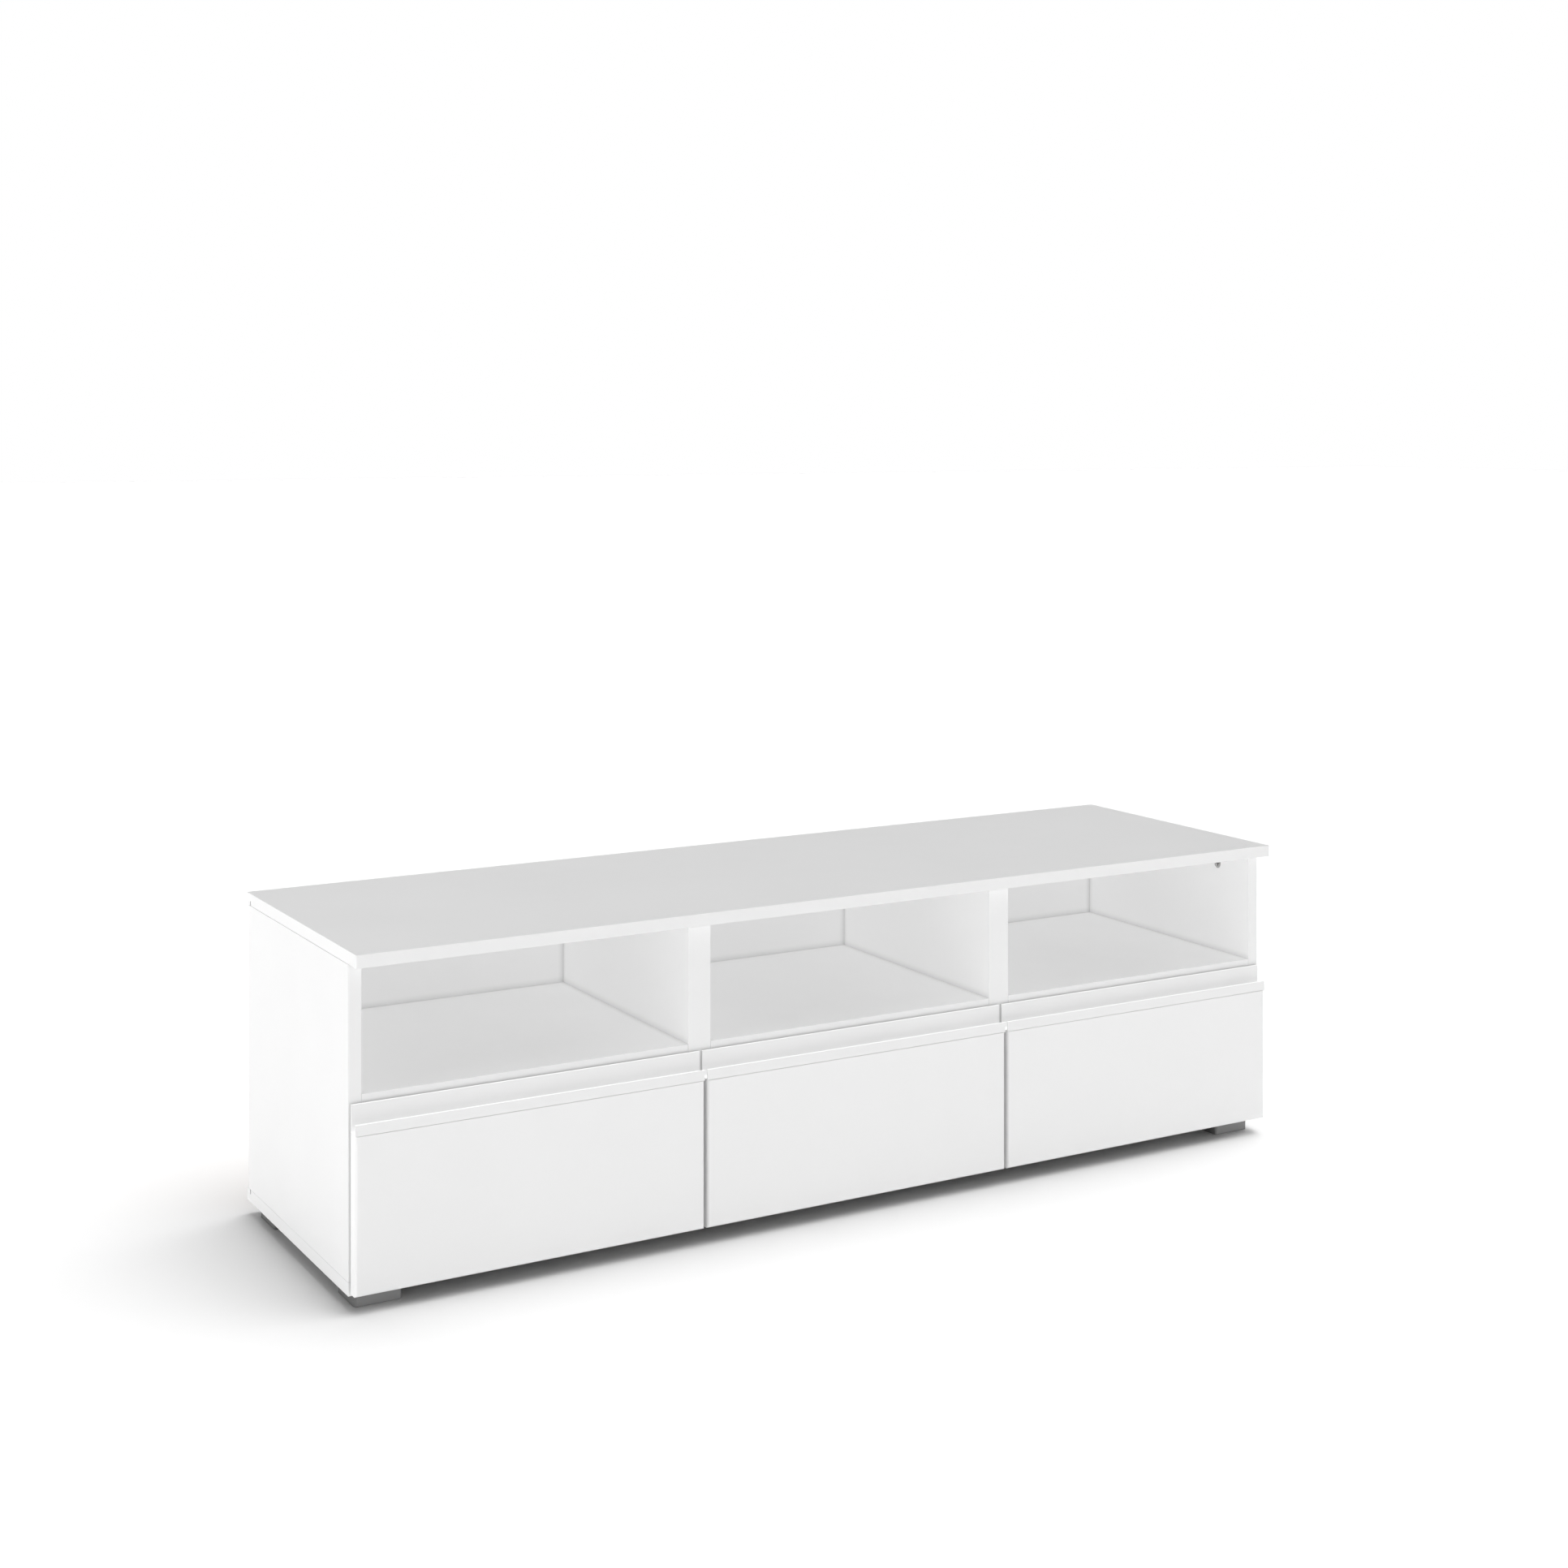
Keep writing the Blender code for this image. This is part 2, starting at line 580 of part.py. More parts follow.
def build_cup(panel, name, x, axis):
    """A cup let into the door's rear face, slotted for the arm and bored for the pin."""
    centre_z = PIVOT_Z - CUP_RIM_BELOW_PIVOT + CUP_RADIUS
    bore = cylinder(
        name + "_bore",
        (x, DOOR_REAR - (CUP_DEPTH - CUT_EXTRA) / 2, centre_z),
        (0, 1, 0),
        CUP_RADIUS + CUP_CLEARANCE,
        CUP_DEPTH + CUT_EXTRA,
        parent=axis,
        sides=CUP_SIDES,
    )
    cut(panel, bore)

    face = DOOR_REAR + CUP_CLEARANCE
    bottom = DOOR_REAR - CUP_DEPTH + CUP_CLEARANCE
    flange_rear = face + FLANGE_THICKNESS
    middle, length = (bottom + flange_rear) / 2, flange_rear - bottom
    cup = cylinder(name, (x, middle, centre_z), (0, 1, 0), CUP_RADIUS, length, ZINC, axis, sides=CUP_SIDES)
    flange = box(
        name + "_flange",
        (x - FLANGE_WIDTH / 2, face, PIVOT_Z + FLANGE_LOW),
        (x + FLANGE_WIDTH / 2, flange_rear, PIVOT_Z + FLANGE_HIGH),
        parent=axis,
    )
    weld(cup, flange)
    floor, past_face = bottom + CUP_FLOOR, flange_rear + CUT_EXTRA
    pocket_half = (CUP_RADIUS - CUP_WALL) / math.sqrt(2)
    pocket = box(
        name + "_pocket",
        (x - pocket_half, floor, centre_z - pocket_half),
        (x + pocket_half, past_face, centre_z + pocket_half),
        parent=axis,
    )
    slot_half = ARM_WIDTH / 2 + ARM_SIDE_CLEARANCE
    slot = box(
        name + "_slot",
        (x - slot_half, floor, PIVOT_Z - CUP_SLOT_BELOW_PIVOT),
        (x + slot_half, past_face, centre_z),
        parent=axis,
    )
    cut(cup, pocket, slot, pin_bore(name + "_pin_bore", x, axis))


def build_arm(name, x):
    """A bent strap from the pin, over the door's lower edge, to a plate on the bottom panel."""
    plate_low = BOTTOM_TOP + JOINT_GAP - PIVOT_Z
    plate_high = plate_low + ARM_PLATE_THICKNESS
    plate_front = FRONT + ARM_PLATE_SETBACK - PIVOT_Y
    plate_rear = plate_front + ARM_PLATE_LENGTH
    half = ARM_STRAP / 2
    neck = math.degrees(math.asin(half / EYE_RADIUS))
    embedded = plate_high - ARM_EMBED
    outline = [
        *arc(0.0, 0.0, EYE_RADIUS, 90 + neck, 450 - neck, 3 * ARC_STEPS),
        (half, ARM_RISE - ARM_STRAP),
        (plate_front + 2 * half, ARM_RISE - ARM_STRAP),
        (plate_front + 2 * half, embedded),
        (plate_rear - 2 * half, embedded),
        (plate_rear - 2 * half, ARM_RISE),
        (-half, ARM_RISE),
    ]
    arm = extrusion(name, outline, (x, PIVOT_Y, PIVOT_Z), ARM_WIDTH, STEEL)
    plate = box(
        name + "_plate",
        (x - ARM_PLATE_WIDTH / 2, PIVOT_Y + plate_front, PIVOT_Z + plate_low),
        (x + ARM_PLATE_WIDTH / 2, PIVOT_Y + plate_rear, PIVOT_Z + plate_high),
    )
    weld(arm, plate)
    cut(arm, pin_bore(name + "_bore", x))


# Braking stay ----------------------------------------------------------------------------
def build_stay(name, wall, axis):
    """Bracket on the door, rod, swivelling housing and the housing's plate on the wall."""
    x = wall - STAY_WALL_DISTANCE
    build_stay_bracket(f"{name}_stay_bracket", x, axis)
    build_stay_rod(f"{name}_stay_rod", x, axis)
    build_stay_housing(f"{name}_stay_housing", x)
    build_stay_plate(f"{name}_stay_plate", wall)


def build_stay_bracket(name, x, axis):
    """An angle on the door's rear face, whose lug carries the rod's front pin."""
    y, z = STAY_FRONT_Y, STAY_FRONT_Z
    lug_x = x - ROD_EYE_WIDTH / 2 - STAY_CLEARANCE
    base_front = DOOR_REAR + JOINT_GAP
    bracket = box(
        name,
        (lug_x - BRACKET_LENGTH, base_front, z - BRACKET_HEIGHT / 2),
        (lug_x, base_front + BRACKET_THICKNESS, z + BRACKET_HEIGHT / 2),
        STEEL,
        axis,
    )
    lug = box(
        name + "_lug",
        (lug_x - LUG_THICKNESS, base_front + BRACKET_THICKNESS / 2, z - LUG_HEIGHT / 2),
        (lug_x, y + LUG_HEIGHT / 2, z + LUG_HEIGHT / 2),
        parent=axis,
    )
    pin_start, pin_end = lug_x - LUG_THICKNESS / 2, x + ROD_EYE_WIDTH / 2 + STAY_CLEARANCE
    pin = cylinder(
        name + "_pin",
        ((pin_start + pin_end) / 2, y, z),
        (1, 0, 0),
        STAY_PIN_RADIUS,
        pin_end - pin_start,
        parent=axis,
    )
    weld(bracket, lug, pin)


def build_stay_rod(name, x, axis):
    """A rod with an eye at the door and a stop collar at its free end; its origin is the eye."""
    pivot = (x, STAY_FRONT_Y, STAY_FRONT_Z)
    carrier = add_axis(name + "_axis", pivot, axis)
    direction = Vector((0.0, math.cos(ROD_ANGLE), math.sin(ROD_ANGLE)))
    eye = cylinder(name, pivot, (1, 0, 0), ROD_EYE_RADIUS, ROD_EYE_WIDTH, STEEL, carrier)
    start = (ROD_EYE_RADIUS + STAY_PIN_RADIUS) / 2
    shank = cylinder(
        name + "_shank",
        Vector(pivot) + direction * (start + ROD_LENGTH) / 2,
        direction,
        ROD_RADIUS,
        ROD_LENGTH - start,
        parent=carrier,
    )
    collar = cylinder(
        name + "_collar",
        Vector(pivot) + direction * (COLLAR_START + COLLAR_LENGTH / 2),
        direction,
        COLLAR_RADIUS,
        COLLAR_LENGTH,
        parent=carrier,
    )
    weld(collar, shank)
    weld(eye, collar)
    bore = cylinder(
        name + "_eye_bore",
        pivot,
        (1, 0, 0),
        STAY_PIN_RADIUS + STAY_CLEARANCE,
        ROD_EYE_WIDTH + CUT_EXTRA,
        parent=carrier,
    )
    cut(eye, bore)


def build_stay_housing(name, x):
    """A block that the rod slides through; it swivels on the plate's stud, which is its origin."""
    pivot = Vector((x, STAY_REAR_Y, STAY_REAR_Z))
    half = Vector((HOUSING_THICKNESS, HOUSING_LENGTH, HOUSING_HEIGHT)) / 2
    direction = Vector((0.0, math.cos(ROD_ANGLE), math.sin(ROD_ANGLE)))
    carrier = add_axis(name + "_axis", pivot)
    housing = box(name, pivot - half, pivot + half, STAY_PLASTIC, carrier)
    round_edges(housing, HOUSING_EDGE)
    turn_about_x(housing, ROD_ANGLE)
    rod_bore = cylinder(
        name + "_rod_bore",
        pivot,
        direction,
        ROD_RADIUS + STAY_CLEARANCE,
        HOUSING_LENGTH + 2 * CUT_EXTRA,
        parent=carrier,
    )
    outside = x + HOUSING_THICKNESS / 2
    stud_end = stud_root(x) - STUD_LENGTH - STAY_CLEARANCE
    stud_bore = cylinder(
        name + "_stud_bore",
        ((outside + CUT_EXTRA + stud_end) / 2, pivot.y, pivot.z),
        (1, 0, 0),
        STUD_RADIUS + STAY_CLEARANCE,
        outside + CUT_EXTRA - stud_end,
        parent=carrier,
    )
    cut(housing, rod_bore, stud_bore)


def stud_root(x):
    """Where the stud leaves its plate, from the rod's place."""
    return x + STAY_WALL_DISTANCE - JOINT_GAP - STAY_PLATE_THICKNESS


def build_stay_plate(name, wall):
    """The plate on the compartment's wall, with the stud that the housing swivels on."""
    y, z = STAY_REAR_Y, STAY_REAR_Z
    outer, inner = wall - JOINT_GAP, wall - JOINT_GAP - STAY_PLATE_THICKNESS
    plate = box(
        name,
        (inner, y - STAY_PLATE_LENGTH / 2, z - STAY_PLATE_HEIGHT / 2),
        (outer, y + STAY_PLATE_LENGTH / 2, z + STAY_PLATE_HEIGHT / 2),
        STEEL,
    )
    stud_end = inner - STUD_LENGTH
    embedded = inner + STAY_PLATE_THICKNESS / 2
    stud = cylinder(
        name + "_stud", ((stud_end + embedded) / 2, y, z), (1, 0, 0), STUD_RADIUS, embedded - stud_end
    )
    weld(plate, stud)


# Magnetic catch --------------------------------------------------------------------------
def build_catch(name, wall, axis):
    """A magnet block on the compartment's wall and the plate that it holds on the door."""
    z = PANEL_TOP - CATCH_DROP
    x_low = wall + JOINT_GAP
    strike_front = DOOR_REAR + JOINT_GAP
    strike_rear = strike_front + STRIKE_THICKNESS
    catch_front = strike_rear + CATCH_GAP
    box(
        f"{name}_catch",
        (x_low, catch_front, z - CATCH_HEIGHT / 2),
        (x_low + CATCH_WIDTH, catch_front + CATCH_DEPTH, z + CATCH_HEIGHT / 2),
        STAY_PLASTIC,
    )
    middle = x_low + CATCH_WIDTH / 2
    box(
        f"{name}_strike",
        (middle - STRIKE_WIDTH / 2, strike_front, z - STRIKE_HEIGHT / 2),
        (middle + STRIKE_WIDTH / 2, strike_rear, z + STRIKE_HEIGHT / 2),
        STEEL,
        axis,
    )


def main():
    build_top_and_bottom()
    build_side("left", -1)
    build_side("right", 1)
    build_dividers_and_shelves()
    build_back()
    build_feet()
    for index, name in enumerate(BAY_NAMES):
        build_door(index, name)


main()
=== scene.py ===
"""Looks of a low TV stand with three open niches over three drop-down doors.

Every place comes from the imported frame, in metres: +Z up, +Y to the rear, doors facing -Y.
"""

import json
import logging
import math
from collections.abc import Callable, Iterable, Sequence
from dataclasses import dataclass
from enum import Enum
from functools import cache

import bmesh
import bpy
from mathutils import Matrix, Vector

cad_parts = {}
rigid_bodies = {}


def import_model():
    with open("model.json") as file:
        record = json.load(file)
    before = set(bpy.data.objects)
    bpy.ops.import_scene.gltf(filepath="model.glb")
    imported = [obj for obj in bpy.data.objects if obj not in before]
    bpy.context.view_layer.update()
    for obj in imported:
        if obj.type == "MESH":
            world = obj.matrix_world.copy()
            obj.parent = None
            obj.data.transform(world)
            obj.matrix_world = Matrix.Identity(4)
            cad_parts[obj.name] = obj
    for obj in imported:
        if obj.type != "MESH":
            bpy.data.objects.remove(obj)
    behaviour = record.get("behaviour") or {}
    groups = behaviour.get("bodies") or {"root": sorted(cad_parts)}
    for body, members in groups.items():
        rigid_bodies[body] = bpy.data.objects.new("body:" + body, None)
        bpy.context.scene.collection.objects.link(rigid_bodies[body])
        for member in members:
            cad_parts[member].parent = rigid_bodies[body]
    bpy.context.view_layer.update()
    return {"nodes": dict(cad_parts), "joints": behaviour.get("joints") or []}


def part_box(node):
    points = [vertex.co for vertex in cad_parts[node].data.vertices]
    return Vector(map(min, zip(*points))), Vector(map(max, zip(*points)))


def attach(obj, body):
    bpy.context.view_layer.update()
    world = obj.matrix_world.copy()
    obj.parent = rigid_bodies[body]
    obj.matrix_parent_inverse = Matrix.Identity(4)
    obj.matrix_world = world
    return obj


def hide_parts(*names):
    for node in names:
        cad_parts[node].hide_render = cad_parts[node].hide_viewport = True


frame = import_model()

LOG = logging.getLogger("tv_stand")

Colour = tuple[float, float, float]
Point = Sequence[float]
Outline = list[tuple[float, float]]

JOINTS: dict[str, Vector] = {joint["name"]: Vector(joint["pos_m"]) for joint in frame["joints"]}

OVERSHOOT = 0.001
SAME_PLACE = 1e-6
FINE_CHAMFER, CHAMFER, WIDE_CHAMFER = 0.0002, 0.0003, 0.0004


# Finishes --------------------------------------------------------------------------------
FAR = 10.0
# Painted shade: how far the ambient-occlusion darkening in corners and gaps reaches, and the
# darkest share of the colour.
PAINTED_SHADE_REACH = 0.009
PAINTED_SHADE_SHARE = 0.66
HAIRLINE_CORE, HAIRLINE_END = 0.00006, 0.00016
HAIRLINE_TONE, BAND_TONE = 0.72, 1.01
DRIFT_SCALE = 7.0
FINE_DETAIL, DRIFT_DETAIL, FIBRE_DETAIL = 3.0, 2.0, 4.0
REAR_FACING = 0.5
NOISE_LOW, NOISE_HIGH = 0.3, 0.7


class Relief(Enum):
    """A surface's small relief: noise scale per metre, stretch of X, Y, Z, and height in metres."""

    ORANGE_PEEL = (260.0, (1.0, 1.0, 1.0), 0.000012)
    PEARLED = (1100.0, (1.0, 1.0, 1.0), 0.000010)
    EXTRUDED = (900.0, (0.004, 1.0, 1.0), 0.000006)
    LEATHERY = (1500.0, (1.0, 1.0, 1.0), 0.000060)
    CAST = (700.0, (1.0, 1.0, 1.0), 0.000030)
    DRAWN = (1600.0, (0.03, 1.0, 1.0), 0.000008)


def new_group(name: str, inputs: dict[str, str], outputs: Iterable[str]) -> bpy.types.NodeTree:
    """Makes an empty shader node group with its sockets.

    Args:
        name: The group's name.
        inputs: Socket kind, "Float" or "Vector", by input name.
        outputs: Names of the float outputs.

    Returns:
        The group, with its input and output nodes in place.
    """
    group = bpy.data.node_groups.new(name, "ShaderNodeTree")
    for label, kind in inputs.items():
        group.interface.new_socket(label, in_out="INPUT", socket_type=f"NodeSocket{kind}")
    for label in outputs:
        group.interface.new_socket(label, in_out="OUTPUT", socket_type="NodeSocketFloat")
    group.nodes.new("NodeGroupInput")
    group.nodes.new("NodeGroupOutput")
    return group


def add_node(tree: bpy.types.NodeTree, kind: str, **settings: object) -> bpy.types.Node:
    """Adds a node and sets its properties.

    Args:
        tree: The tree that takes the node.
        kind: The node's bl_idname.
        **settings: Properties to set on it.

    Returns:
        The new node.
    """
    node = tree.nodes.new(kind)
    for key, value in settings.items():
        setattr(node, key, value)
    return node


@cache
def relief_group() -> bpy.types.NodeTree:
    """Builds the group that puts out fine relief and a slow drift over the surface.

    Returns:
        The group.
    """
    inputs = {"Scale": "Float", "Stretch": "Vector"}
    group = new_group("surface_relief", inputs, ("Height", "Drift"))
    given, result = group.nodes["Group Input"], group.nodes["Group Output"]
    place = add_node(group, "ShaderNodeTexCoord")
    stretched = add_node(group, "ShaderNodeVectorMath", operation="MULTIPLY")
    fine = add_node(group, "ShaderNodeTexNoise")
    fine.inputs["Detail"].default_value = FINE_DETAIL
    slow = add_node(group, "ShaderNodeTexNoise")
    slow.inputs["Scale"].default_value = DRIFT_SCALE
    slow.inputs["Detail"].default_value = DRIFT_DETAIL
    link = group.links.new
    link(place.outputs["Object"], stretched.inputs[0])
    link(given.outputs["Stretch"], stretched.inputs[1])
    link(stretched.outputs["Vector"], fine.inputs["Vector"])
    link(given.outputs["Scale"], fine.inputs["Scale"])
    link(place.outputs["Object"], slow.inputs["Vector"])
    link(fine.outputs["Fac"], result.inputs["Height"])
    link(slow.outputs["Fac"], result.inputs["Drift"])
    return group


@cache
def edging_group() -> bpy.types.NodeTree:
    """Builds the group that finds a glued edge band and the hairline beside it.

    Low and High are the corners of the banded planes; a plane that has no band is far away.

    Returns:
        The group.
    """
    inputs = {"Low": "Vector", "High": "Vector", "Thickness": "Float"}
    group = new_group("edge_band", inputs, ("Band", "Hairline"))
    given, result = group.nodes["Group Input"], group.nodes["Group Output"]
    place = add_node(group, "ShaderNodeTexCoord")
    from_low = add_node(group, "ShaderNodeVectorMath", operation="SUBTRACT")
    from_high = add_node(group, "ShaderNodeVectorMath", operation="SUBTRACT")
    nearest = add_node(group, "ShaderNodeVectorMath", operation="MINIMUM")
    parts = add_node(group, "ShaderNodeSeparateXYZ")
    distance = add_node(group, "ShaderNodeMath", operation="MINIMUM")
    inside = add_node(group, "ShaderNodeMath", operation="LESS_THAN")
    offset = add_node(group, "ShaderNodeMath", operation="SUBTRACT")
    size = add_node(group, "ShaderNodeMath", operation="ABSOLUTE")
    line = add_node(group, "ShaderNodeMapRange", interpolation_type="SMOOTHSTEP")
    fade = {"From Min": HAIRLINE_CORE, "From Max": HAIRLINE_END, "To Min": 1.0, "To Max": 0.0}
    for label, value in fade.items():
        line.inputs[label].default_value = value
    link = group.links.new
    link(place.outputs["Object"], from_low.inputs[0])
    link(given.outputs["Low"], from_low.inputs[1])
    link(given.outputs["High"], from_high.inputs[0])
    link(place.outputs["Object"], from_high.inputs[1])
    link(from_low.outputs["Vector"], nearest.inputs[0])
    link(from_high.outputs["Vector"], nearest.inputs[1])
    link(nearest.outputs["Vector"], parts.inputs["Vector"])
    link(parts.outputs["X"], distance.inputs[0])
    link(parts.outputs["Y"], distance.inputs[1])
    link(distance.outputs["Value"], inside.inputs[0])
    link(given.outputs["Thickness"], inside.inputs[1])
    link(distance.outputs["Value"], offset.inputs[0])
    link(given.outputs["Thickness"], offset.inputs[1])
    link(offset.outputs["Value"], size.inputs[0])
    link(size.outputs["Value"], line.inputs["Value"])
    link(inside.outputs["Value"], result.inputs["Band"])
    link(line.outputs["Result"], result.inputs["Hairline"])
    return group


@cache
def screen_group() -> bpy.types.NodeTree:
    """Builds the group that finds a board's rear face and puts out its wire-screen relief.

    Returns:
        The group.
    """
    group = new_group("screen_back", {"Pitch": "Float"}, ("Rear", "Screen"))
    given, result = group.nodes["Group Input"], group.nodes["Group Output"]
    place = add_node(group, "ShaderNodeTexCoord")
    shape = add_node(group, "ShaderNodeNewGeometry")
    normal = add_node(group, "ShaderNodeSeparateXYZ")
    rear = add_node(group, "ShaderNodeMath", operation="GREATER_THAN")
    rear.inputs[1].default_value = REAR_FACING
    spot = add_node(group, "ShaderNodeSeparateXYZ")
    link = group.links.new
    link(shape.outputs["Normal"], normal.inputs["Vector"])
    link(normal.outputs["Y"], rear.inputs[0])
    link(place.outputs["Object"], spot.inputs["Vector"])
    waves = []
    for axis in ("X", "Z"):
        cycles = add_node(group, "ShaderNodeMath", operation="DIVIDE")
        turns = add_node(group, "ShaderNodeMath", operation="MULTIPLY")
        turns.inputs[1].default_value = math.tau
        wave = add_node(group, "ShaderNodeMath", operation="SINE")
        link(spot.outputs[axis], cycles.inputs[0])
        link(given.outputs["Pitch"], cycles.inputs[1])
        link(cycles.outputs["Value"], turns.inputs[0])
        link(turns.outputs["Value"], wave.inputs[0])
        waves.append(wave)
    both = add_node(group, "ShaderNodeMath", operation="MULTIPLY")
    link(waves[0].outputs["Value"], both.inputs[0])
    link(waves[1].outputs["Value"], both.inputs[1])
    link(rear.outputs["Value"], result.inputs["Rear"])
    link(both.outputs["Value"], result.inputs["Screen"])
    return group


def mix_colours(
    tree: bpy.types.NodeTree,
    factor: bpy.types.NodeSocket,
    first: bpy.types.NodeSocket | Colour,
    second: bpy.types.NodeSocket | Colour,
) -> bpy.types.NodeSocket:
    """Mixes two colours, each a socket or a value.

    Args:
        tree: The material's tree.
        factor: 0 for the first colour, 1 for the second.
        first: The first colour.
        second: The second colour.

    Returns:
        The mixed colour's socket.
    """
    mix = add_node(tree, "ShaderNodeMix", data_type="RGBA")
    tree.links.new(factor, mix.inputs["Factor"])
    for label, colour in (("A", first), ("B", second)):
        socket = next(s for s in mix.inputs if s.name == label and s.type == "RGBA")
        if isinstance(colour, bpy.types.NodeSocket):
            tree.links.new(colour, socket)
        else:
            socket.default_value = (*colour, 1.0)
    return next(s for s in mix.outputs if s.type == "RGBA")


def mapped(
    tree: bpy.types.NodeTree, value: bpy.types.NodeSocket, low: float, high: float
) -> bpy.types.NodeSocket:
    """Maps a noise's middle range onto two values.

    Args:
        tree: The material's tree.
        value: The noise's socket.
        low: Result at the noise's low end.
        high: Result at its high end.

    Returns:
        The result's socket.
    """
    node = add_node(tree, "ShaderNodeMapRange")
    ends = {"From Min": NOISE_LOW, "From Max": NOISE_HIGH, "To Min": low, "To Max": high}
    for label, number in ends.items():
        node.inputs[label].default_value = number
    tree.links.new(value, node.inputs["Value"])
    return node.outputs["Result"]


def shaded(colour: Colour, factor: float) -> Colour:
    """Returns the colour, darker or lighter by a factor."""
    return tuple(channel * factor for channel in colour)


@dataclass(frozen=True)
class Finish:
    """A finish with fine relief and a slow drift of tone and gloss.

    Attributes:
        name: The material's name.
        slot: The record's material slot.
        colour: Base colour.
        roughness: Mean roughness.
        relief: The surface's small relief.
        metallic: 1 for bare metal.
        coat: Weight of a clear coat.
        tone_drift: How much darker the darkest patches are.
        gloss_drift: How far roughness drifts each way.
    """

    name: str
    slot: str
    colour: Colour
    roughness: float
    relief: Relief
    metallic: float = 0.0
    coat: float = 0.0
    tone_drift: float = 0.012
    gloss_drift: float = 0.04

    def material(self) -> bpy.types.Material:
        """Builds the material, once for each finish."""
        return built_material(self)

    def build(self) -> bpy.types.Material:
        """Builds the nodes.

        Returns:
            The material.
        """
        material = bpy.data.materials.new(self.name)
        material.use_nodes = True
        material.diffuse_color = (*self.colour, 1.0)
        tree = material.node_tree
        shader = tree.nodes["Principled BSDF"]
        scale, stretch, height = self.relief.value
        relief = add_node(tree, "ShaderNodeGroup", node_tree=relief_group())
        relief.inputs["Scale"].default_value = scale
        relief.inputs["Stretch"].default_value = stretch
        bump = add_node(tree, "ShaderNodeBump")
        bump.inputs["Distance"].default_value = height
        tree.links.new(self.height(tree, relief.outputs["Height"]), bump.inputs["Height"])
        tree.links.new(bump.outputs["Normal"], shader.inputs["Normal"])
        drift = mapped(tree, relief.outputs["Drift"], 0.0, 1.0)
        plain = mix_colours(tree, drift, self.colour, shaded(self.colour, 1.0 - self.tone_drift))
        tree.links.new(self.paint(tree, plain), shader.inputs["Base Color"])
        low, high = self.roughness - self.gloss_drift, self.roughness + self.gloss_drift
        tree.links.new(mapped(tree, relief.outputs["Drift"], low, high), shader.inputs["Roughness"])
        shader.inputs["Metallic"].default_value = self.metallic
        shader.inputs["Coat Weight"].default_value = self.coat
        shader.inputs["Coat Roughness"].default_value = self.roughness / 2
        return material

    def height(self, tree: bpy.types.NodeTree, fine: bpy.types.NodeSocket) -> bpy.types.NodeSocket:
        """Returns the height that the bump reads; a plain finish has only its fine relief."""
        return fine

    def paint(self, tree: bpy.types.NodeTree, plain: bpy.types.NodeSocket) -> bpy.types.NodeSocket:
        """Returns the colour with what this finish paints over it; a plain finish adds nothing."""
        return plain


@cache
def built_material(finish: Finish) -> bpy.types.Material:
    """Returns the finish's one material."""
    return finish.build()


def painted_joint_shade(
    tree: bpy.types.NodeTree, colour: bpy.types.NodeSocket, base: Colour
) -> bpy.types.NodeSocket:
    """Paints shade into a colour: darkens it by ambient occlusion in the corners and gaps between
    boards.

    Args:
        tree: The material's tree.
        colour: The colour to darken.
        base: The finish's own colour, which the darkest place is a share of.

    Returns:
        The darkened colour's socket.
    """
    # Painted shade: the occlusion factor darkens the colour where the surface is hemmed in by other
    # boards.
    openness = add_node(tree, "ShaderNodeAmbientOcclusion", samples=6)
    openness.inputs["Distance"].default_value = PAINTED_SHADE_REACH
    return mix_colours(tree, openness.outputs["AO"], shaded(base, PAINTED_SHADE_SHARE), colour)


@dataclass(frozen=True)
class BandedBoard(Finish):
    """A board finish with a glued edge band, which shows as a slim strip and a hairline.

    Attributes:
        low: Lower corner of the banded planes.
        high: Upper corner of the banded planes.
        band: Thickness of the band.
    """

    low: Point = (-FAR, -FAR, -FAR)
    high: Point = (FAR, FAR, FAR)
    band: float = 0.0008

    def paint(self, tree: bpy.types.NodeTree, plain: bpy.types.NodeSocket) -> bpy.types.NodeSocket:
        """Adds the band's tone, the hairline beside it, and painted shade in the corners and gaps
        between boards.

        Args:
            tree: The material's tree.
            plain: The board's own colour.

        Returns:
            The colour's socket.
        """
        edging = add_node(tree, "ShaderNodeGroup", node_tree=edging_group())
        edging.inputs["Low"].default_value = self.low
        edging.inputs["High"].default_value = self.high
        edging.inputs["Thickness"].default_value = self.band
        band_tone, line_tone = shaded(self.colour, BAND_TONE), shaded(self.colour, HAIRLINE_TONE)
        banded = mix_colours(tree, edging.outputs["Band"], plain, band_tone)
        lined = mix_colours(tree, edging.outputs["Hairline"], banded, line_tone)
        # Painted shade: the colour is darkened in the corners and gaps between boards.
        return painted_joint_shade(tree, lined, self.colour)


